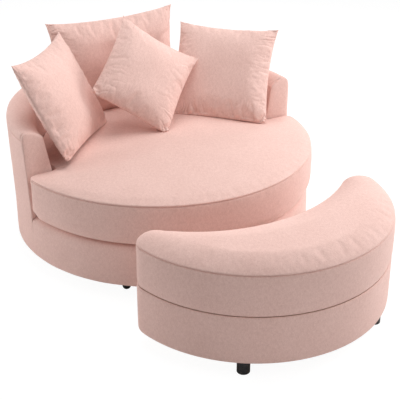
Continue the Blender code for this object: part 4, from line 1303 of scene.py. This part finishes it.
def half_moon(inset):
    outer, inner, tip = OUTER_RADIUS - inset, INNER_RADIUS + inset, max(TIP - inset, LEAST_TIP)
    reach_out, reach_in, apart = outer - tip, inner + tip, INNER_Y - OUTER_Y
    from_outer = (reach_out**2 - reach_in**2 + apart**2) / (2 * apart)
    tip_x, tip_y = math.sqrt(reach_out**2 - from_outer**2), OUTER_Y + from_outer
    out_turn = math.degrees(math.atan2(tip_x, OUTER_Y - tip_y))
    in_turn = math.degrees(math.atan2(tip_x, INNER_Y - tip_y))
    half = arc(OUTER_Y, outer, 0, out_turn, 56)
    half += [(x + tip_x, y + tip_y) for x, y in arc(0, tip, out_turn, 180 + in_turn, 16)]
    half += arc(INNER_Y, inner, in_turn, 0, 40) + [(0.0, INNER_Y - inner)]
    return mirrored(half)


def to_ottoman(points):
    """Turns points from the ottoman's own plan to where it stands."""
    cos, sin = math.cos(OTTOMAN_TURN), math.sin(OTTOMAN_TURN)
    x, y = points[:, 0], points[:, 1] - OUTER_Y
    moved = np.column_stack([x * cos - y * sin, x * sin + y * cos + OUTER_Y, points[:, 2]])
    return moved + np.array((OTTOMAN_SHIFT, CHAIR.y, 0.0))


print("ottoman is", round(way_round(half_moon(0.0))[-1], 3), "m round")

# %% [markdown]
# The lid is a boxed cushion like the seat's, on a board. Its top is narrower, so the crown reaches
# its full height close to the edge, and its rounded shoulder is read from a few heights between
# the seam and the middle. The band's lower rows turn in under the board and are held.

# %% Ottoman lid
LID_LOW, LID_SEAM, LID_CROWN, LID_LIP = 0.2543, 0.4135, 0.0345, 0.0055
LID_TUCK, LID_TURN, LID_STEP = 0.012, 0.010, 0.0139
LID_GAPS, LID_SHARES = (0, 0.010, 0.020, 0.045, 0.080, 0.15), (0, 0.28, 0.52, 0.83, 0.97, 1.0)


def lid_rise(gap):
    share = float(np.interp(gap, LID_GAPS, LID_SHARES))
    return LID_SEAM + LID_CROWN * share + LID_LIP * seam_lip(gap)


lid_rows = [(LID_LOW + 0.0123, LID_TUCK), (LID_LOW, LID_TUCK), (LID_LOW, 0.5 * LID_TUCK)]
lid_rows += [(LID_LOW + 0.3 * LID_TURN, 0.003), (LID_LOW + LID_TURN, 0.001)]
lid_rows += [(LID_LOW + LID_TURN + LID_STEP * i, 0.0) for i in range(1, 11)]
below = [(-0.0050, 0.0005), (-0.0016, 0.0024), (0.0, 0.0070)]
above = [(0.0020, 0.0026), (0.0055, 0.0016), (0.0082, 0.0040)]
lid_seam_row = len(lid_rows) + len(below) - 1
lid_rows += crown_rows(LID_SEAM, below, above, lid_rise, 0.001, 0.025)
lid = filled_cushion(
    "ottoman_lid_cloth",
    half_moon,
    lid_rows,
    lid_seam_row,
    lid_rise,
    pitch=0.012,
    firm=5,
    pressure=1.8,
    spare=0.004,
    depth=0.0014,
)
set_spots(lid, to_ottoman(spots(lid)))
rounder(lid)
dress(lid, "ottoman_lid", "ottoman_lid_cushion")
print("ottoman lid", len(lid.data.vertices), "points")

# %% [markdown]
# The box of the ottoman is bent plywood in a tight sleeve of cloth. The sleeve is thin and turns
# in at the top and the hem, so it is drawn as one closed loop of rings, the last of which meets
# the first inside.

# %% Ottoman box
TUB_LOW, TUB_HIGH, TUB_BANDS = 0.064, 0.254, 14
TUB_INSIDE, TUB_SWELL = 0.0117, 0.0015

sleeve = [(TUB_LOW, TUB_INSIDE), (TUB_LOW, 0.006), (TUB_LOW + 0.002, 0.002), (TUB_LOW + 0.006, 0.0)]
for i in range(1, TUB_BANDS):
    sleeve.append((TUB_LOW + (TUB_HIGH - TUB_LOW) * i / TUB_BANDS, -TUB_SWELL))
sleeve += [(TUB_HIGH - 0.004, 0.0), (TUB_HIGH, 0.004), (TUB_HIGH, TUB_INSIDE)]
tub_rings = [half_moon(inset) for _, inset in sleeve]
tub_points = [(x, y, z) for ring, (z, _) in zip(tub_rings, sleeve) for x, y in ring]
tub_cuts = tube_cuts(way_round(tub_rings[0]), [z for z, _ in sleeve], loop=True)
tub_cloth = cloth_mesh("ottoman_tub_cloth", to_ottoman(np.array(tub_points)), tub_cuts, "blush_chenille")
rounder(tub_cloth)
dress(tub_cloth, "base", "ottoman_cover")
print("ottoman box", len(tub_points), "points")

# %% [markdown]
# A felt pad lies between the springs and the seat cushion and keeps the wire from rubbing. It is a
# thick soft disc with rounded edges, so it is made as a boxed cushion too, with a flat top and
# without filling.

# %% Spring pad
felt_low, felt_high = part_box("spring_felt_pad")
thick = felt_high.z - felt_low.z
felt_radius = (felt_high.x - felt_low.x) / 2
FELT_ROUNDING = 0.002


def felt_plan(inset):
    return np.array(arc(0, felt_radius - inset, 0, 360, 180))


def felt_top(gap):
    return felt_high.z


felt_rows = [(felt_low.z, FELT_ROUNDING), (felt_low.z + 0.3 * thick, 0.0)]
felt_rows += [(felt_low.z + 0.7 * thick, 0.0), (felt_high.z, FELT_ROUNDING)]
felt_pad, _ = boxed_cushion("spring_felt_cloth", felt_plan, felt_rows, felt_top, 0.030, "grey_felt")
set_spots(felt_pad, spots(felt_pad) + np.array(CHAIR))
dress(felt_pad, "seat", "spring_felt_pad")
print("felt pad radius", round(felt_radius, 4), "thickness", round(thick, 4))

# %% [markdown]
# Springs and balls repeat, which is a job for Geometry Nodes: a tree is built once, with named
# inputs for its sizes, and run on every piece that needs it. Loops in Python could place the
# copies too, but a tree keeps the rule in one place. The result is kept as a plain mesh, because
# instances don't reach the exported model.


# %% Geometry recipes
class Recipe(Tree):
    """A geometry tree with named inputs, run on a mesh and kept as plain geometry."""

    def __init__(self, name, **inputs):
        super().__init__(bpy.data.node_groups.new(name, "GeometryNodeTree"))
        self.values = {}
        face = self.tree.interface
        face.new_socket("Geometry", in_out="INPUT", socket_type="NodeSocketGeometry")
        face.new_socket("Geometry", in_out="OUTPUT", socket_type="NodeSocketGeometry")
        for key, value in inputs.items():
            kind = "NodeSocketInt" if isinstance(value, int) else "NodeSocketFloat"
            socket = face.new_socket(key, in_out="INPUT", socket_type=kind)
            self.values[socket.identifier] = value
        self.given = self.tree.nodes.new("NodeGroupInput")
        self.tree.nodes.new("NodeGroupOutput").name = "result"

    def input(self, key):
        return Wire(self, self.given.outputs[key])

    def finished(self, geometry, material):
        """Ends the tree: smooth shading, real geometry and a material."""
        smooth = self.node("GeometryNodeSetShadeSmooth", (), {"Geometry": geometry})
        real = self.node("GeometryNodeRealizeInstances", (), {"Geometry": smooth})
        painted = self.node("GeometryNodeSetMaterial", (), {"Geometry": real, "Material": material})
        self.join(painted, "result", "Geometry")

    def bake(self, name, points, edges=(), faces=()):
        """Runs the tree on a mesh of the given points, and returns the result as a plain object."""
        start = bpy.data.meshes.new(name)
        start.from_pydata([tuple(p) for p in points], list(edges), list(faces))
        made = added(name, start)
        run = made.modifiers.new("recipe", "NODES")
        run.node_group = self.tree
        for identifier, value in self.values.items():
            run[identifier] = value
        applied(made)
        return made


print("recipes ready")

# %% [markdown]
# The zig-zag springs under the seat are one steel wire each, bent into rows of half-round loops,
# and they arch from clip to clip. A wire follows a path, so the path becomes a curve and a small
# circle is carried along it. The same tree serves all five springs.

# %% Zig-zag springs
WIRE, LOOP_WIDTH, LOOP_PITCH = 0.004, 0.052, 0.056
LOOP_TURNS = np.radians(np.linspace(-80, 80, 9))


def spring_path(low, high):
    """The middle of a zig-zag wire inside a box, from one end in Y to the other."""
    middle, reach = (low + high) / 2, (high.y - low.y) / 2
    seat, arch = low.z + WIRE / 2, high.z - low.z - WIRE
    runs = 2 * round(reach / LOOP_PITCH) + 1
    bend = reach / runs
    path = [(0.0, -reach)]
    for i in range(runs):
        side = 1 if i % 2 else -1
        for turn in LOOP_TURNS:
            x = side * (LOOP_WIDTH / 2 - bend + bend * math.cos(turn))
            path.append((x, -reach + (2 * i + 1 + math.sin(turn)) * bend))
    path.append((0.0, reach))
    return [(middle.x + x, middle.y + y, seat + arch * (1 - (y / reach) ** 2)) for x, y in path]


wire = Recipe("wire_along_path", Radius=WIRE / 2, Sides=12)
curve = wire.node("GeometryNodeMeshToCurve", (), {"Mesh": wire.input("Geometry")})
section = wire.node(
    "GeometryNodeCurvePrimitiveCircle",
    (),
    {"Resolution": wire.input("Sides"), "Radius": wire.input("Radius")},
)
tube = wire.node("GeometryNodeCurveToMesh", (), {"Curve": curve, "Profile Curve": section, "Fill Caps": True})
wire.finished(tube, FINISHES["spring_steel"])
for i in range(1, 6):
    path = spring_path(*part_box(f"seat_spring_{i}"))
    spring = wire.bake(f"seat_spring_wire_{i}", path, [(k, k + 1) for k in range(len(path) - 1)])
    dress(spring, "seat", f"seat_spring_{i}")
print("last spring", len(path), "path points,", len(spring.data.polygons), "faces")

# %% [markdown]
# The seat turns on a ring of steel balls, held apart by a thin flat cage between the two plates.
# Sixteen spheres could be placed one by one. Geometry Nodes set one ball on every point of a
# circle instead, which is how a bearing's maker thinks of it too, and join them to the cage.


# %% Ball cage
def spun(middle, profile, sides):
    """A profile of radius and height carried round a middle: a ring of points for each of its points."""
    turns = [2 * math.pi * k / sides for k in range(sides)]
    return [(middle.x + r * math.cos(t), middle.y + r * math.sin(t), z) for r, z in profile for t in turns]


cage_low, cage_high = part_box("swivel_ball_cage")
middle = (cage_low + cage_high) / 2
CAGE_HALF, CAGE_THIN, CAGE_STEPS = 0.007, 0.001, 128
BALL, BALLS = (cage_high.z - cage_low.z) / 2, 16
race = (cage_high.x - cage_low.x) / 2 - CAGE_HALF
cage_profile = []
for x, z in ((-1, -1), (1, -1), (1, 1), (-1, 1)):
    cage_profile.append((race + CAGE_HALF * x, middle.z + CAGE_THIN * z))
bearing = Recipe("balls_in_cage", Radius=race, Ball=BALL, Count=BALLS)
circle = bearing.node(
    "GeometryNodeMeshCircle",
    (),
    {"Vertices": bearing.input("Count"), "Radius": bearing.input("Radius")},
)
circle = bearing.node("GeometryNodeTransform", (), {"Geometry": circle, "Translation": tuple(middle)})
sphere = {"Segments": 24, "Rings": 12, "Radius": bearing.input("Ball")}
ball = bearing.node("GeometryNodeMeshUVSphere", (), sphere)
balls = bearing.node("GeometryNodeInstanceOnPoints", (), {"Points": circle, "Instance": ball})
parts = [balls, bearing.input("Geometry")]
together = bearing.node("GeometryNodeJoinGeometry", (), {"Geometry": parts})
bearing.finished(together, FINISHES["zinc_plated_steel"])
cage = bearing.bake(
    "swivel_balls_in_cage",
    spun(middle, cage_profile, CAGE_STEPS),
    faces=squares(len(cage_profile), CAGE_STEPS, loop=True),
)
dress(cage, "bearing_cage", "swivel_ball_cage")
print("ball cage", len(cage.data.polygons), "faces, race radius", round(race, 4))

# %% [markdown]
# The chair stands on glossy black glides, each a ball on a waist under a flange, and the ottoman on
# plain round legs. Both are turned shapes, so a profile of radius and height is spun about its own
# axis. Points set close to each edge keep it crisp under smooth shading.

# %% Turned feet
FOOT_SIDES = 48


def turned_foot(node, profile):
    """Spins a profile about the middle of a packed foot, whose place it takes."""
    low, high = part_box(node)
    middle = (low + high) / 2
    points = spun(middle, profile, FOOT_SIDES)
    points += [(middle.x, middle.y, profile[0][1]), (middle.x, middle.y, profile[-1][1])]
    bottom, top, last = len(points) - 2, len(points) - 1, len(points) - 2 - FOOT_SIDES
    faces = squares(len(profile), FOOT_SIDES)
    for k in range(FOOT_SIDES):
        j = (k + 1) % FOOT_SIDES
        faces += [(bottom, j, k), (top, last + k, last + j)]
    mesh = bpy.data.meshes.new(node + "_turned")
    mesh.from_pydata(points, [], faces)
    mesh.shade_smooth()
    mesh.materials.append(FINISHES["black_plastic"])
    dress(added(node + "_turned", mesh), "base", node)


GLIDE, GLIDE_HIGH, FLANGE = 0.0175, 0.060, 0.004
glide = [(GLIDE * math.sin(a), GLIDE * (1 - math.cos(a))) for a in np.linspace(0.12, 2.1, 14)]
glide += [(GLIDE * 0.60, glide[-1][1] + GLIDE / 4), (GLIDE * 0.60, GLIDE_HIGH - 2.2 * FLANGE)]
glide += [(GLIDE * 0.62, GLIDE_HIGH - 1.9 * FLANGE), (GLIDE * 0.98, GLIDE_HIGH - 1.02 * FLANGE)]
glide += [(GLIDE, GLIDE_HIGH - 0.9 * FLANGE), (GLIDE, GLIDE_HIGH - 0.05 * FLANGE), (GLIDE * 0.98, GLIDE_HIGH)]
LEG, LEG_EDGE, LEG_TOP_EDGE = 0.024, 0.0025, 0.0008
leg_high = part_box("ottoman_foot_front_left")[1].z
leg = [(LEG - 1.4 * LEG_EDGE, 0.0), (LEG - LEG_EDGE, 0.0), (LEG - 0.5 * LEG_EDGE, 0.15 * LEG_EDGE)]
leg += [(LEG - 0.15 * LEG_EDGE, 0.5 * LEG_EDGE), (LEG, LEG_EDGE), (LEG, 1.5 * LEG_EDGE)]
leg += [(LEG, leg_high - 0.001), (LEG, leg_high - 0.0002), (LEG - LEG_TOP_EDGE, leg_high)]
for kind, profile in (("base_foot_", glide), ("ottoman_foot_", leg)):
    for place in ("front_left", "front_right", "back_left", "back_right"):
        turned_foot(kind + place, profile)
print("feet", len(glide), "and", len(leg), "profile points")
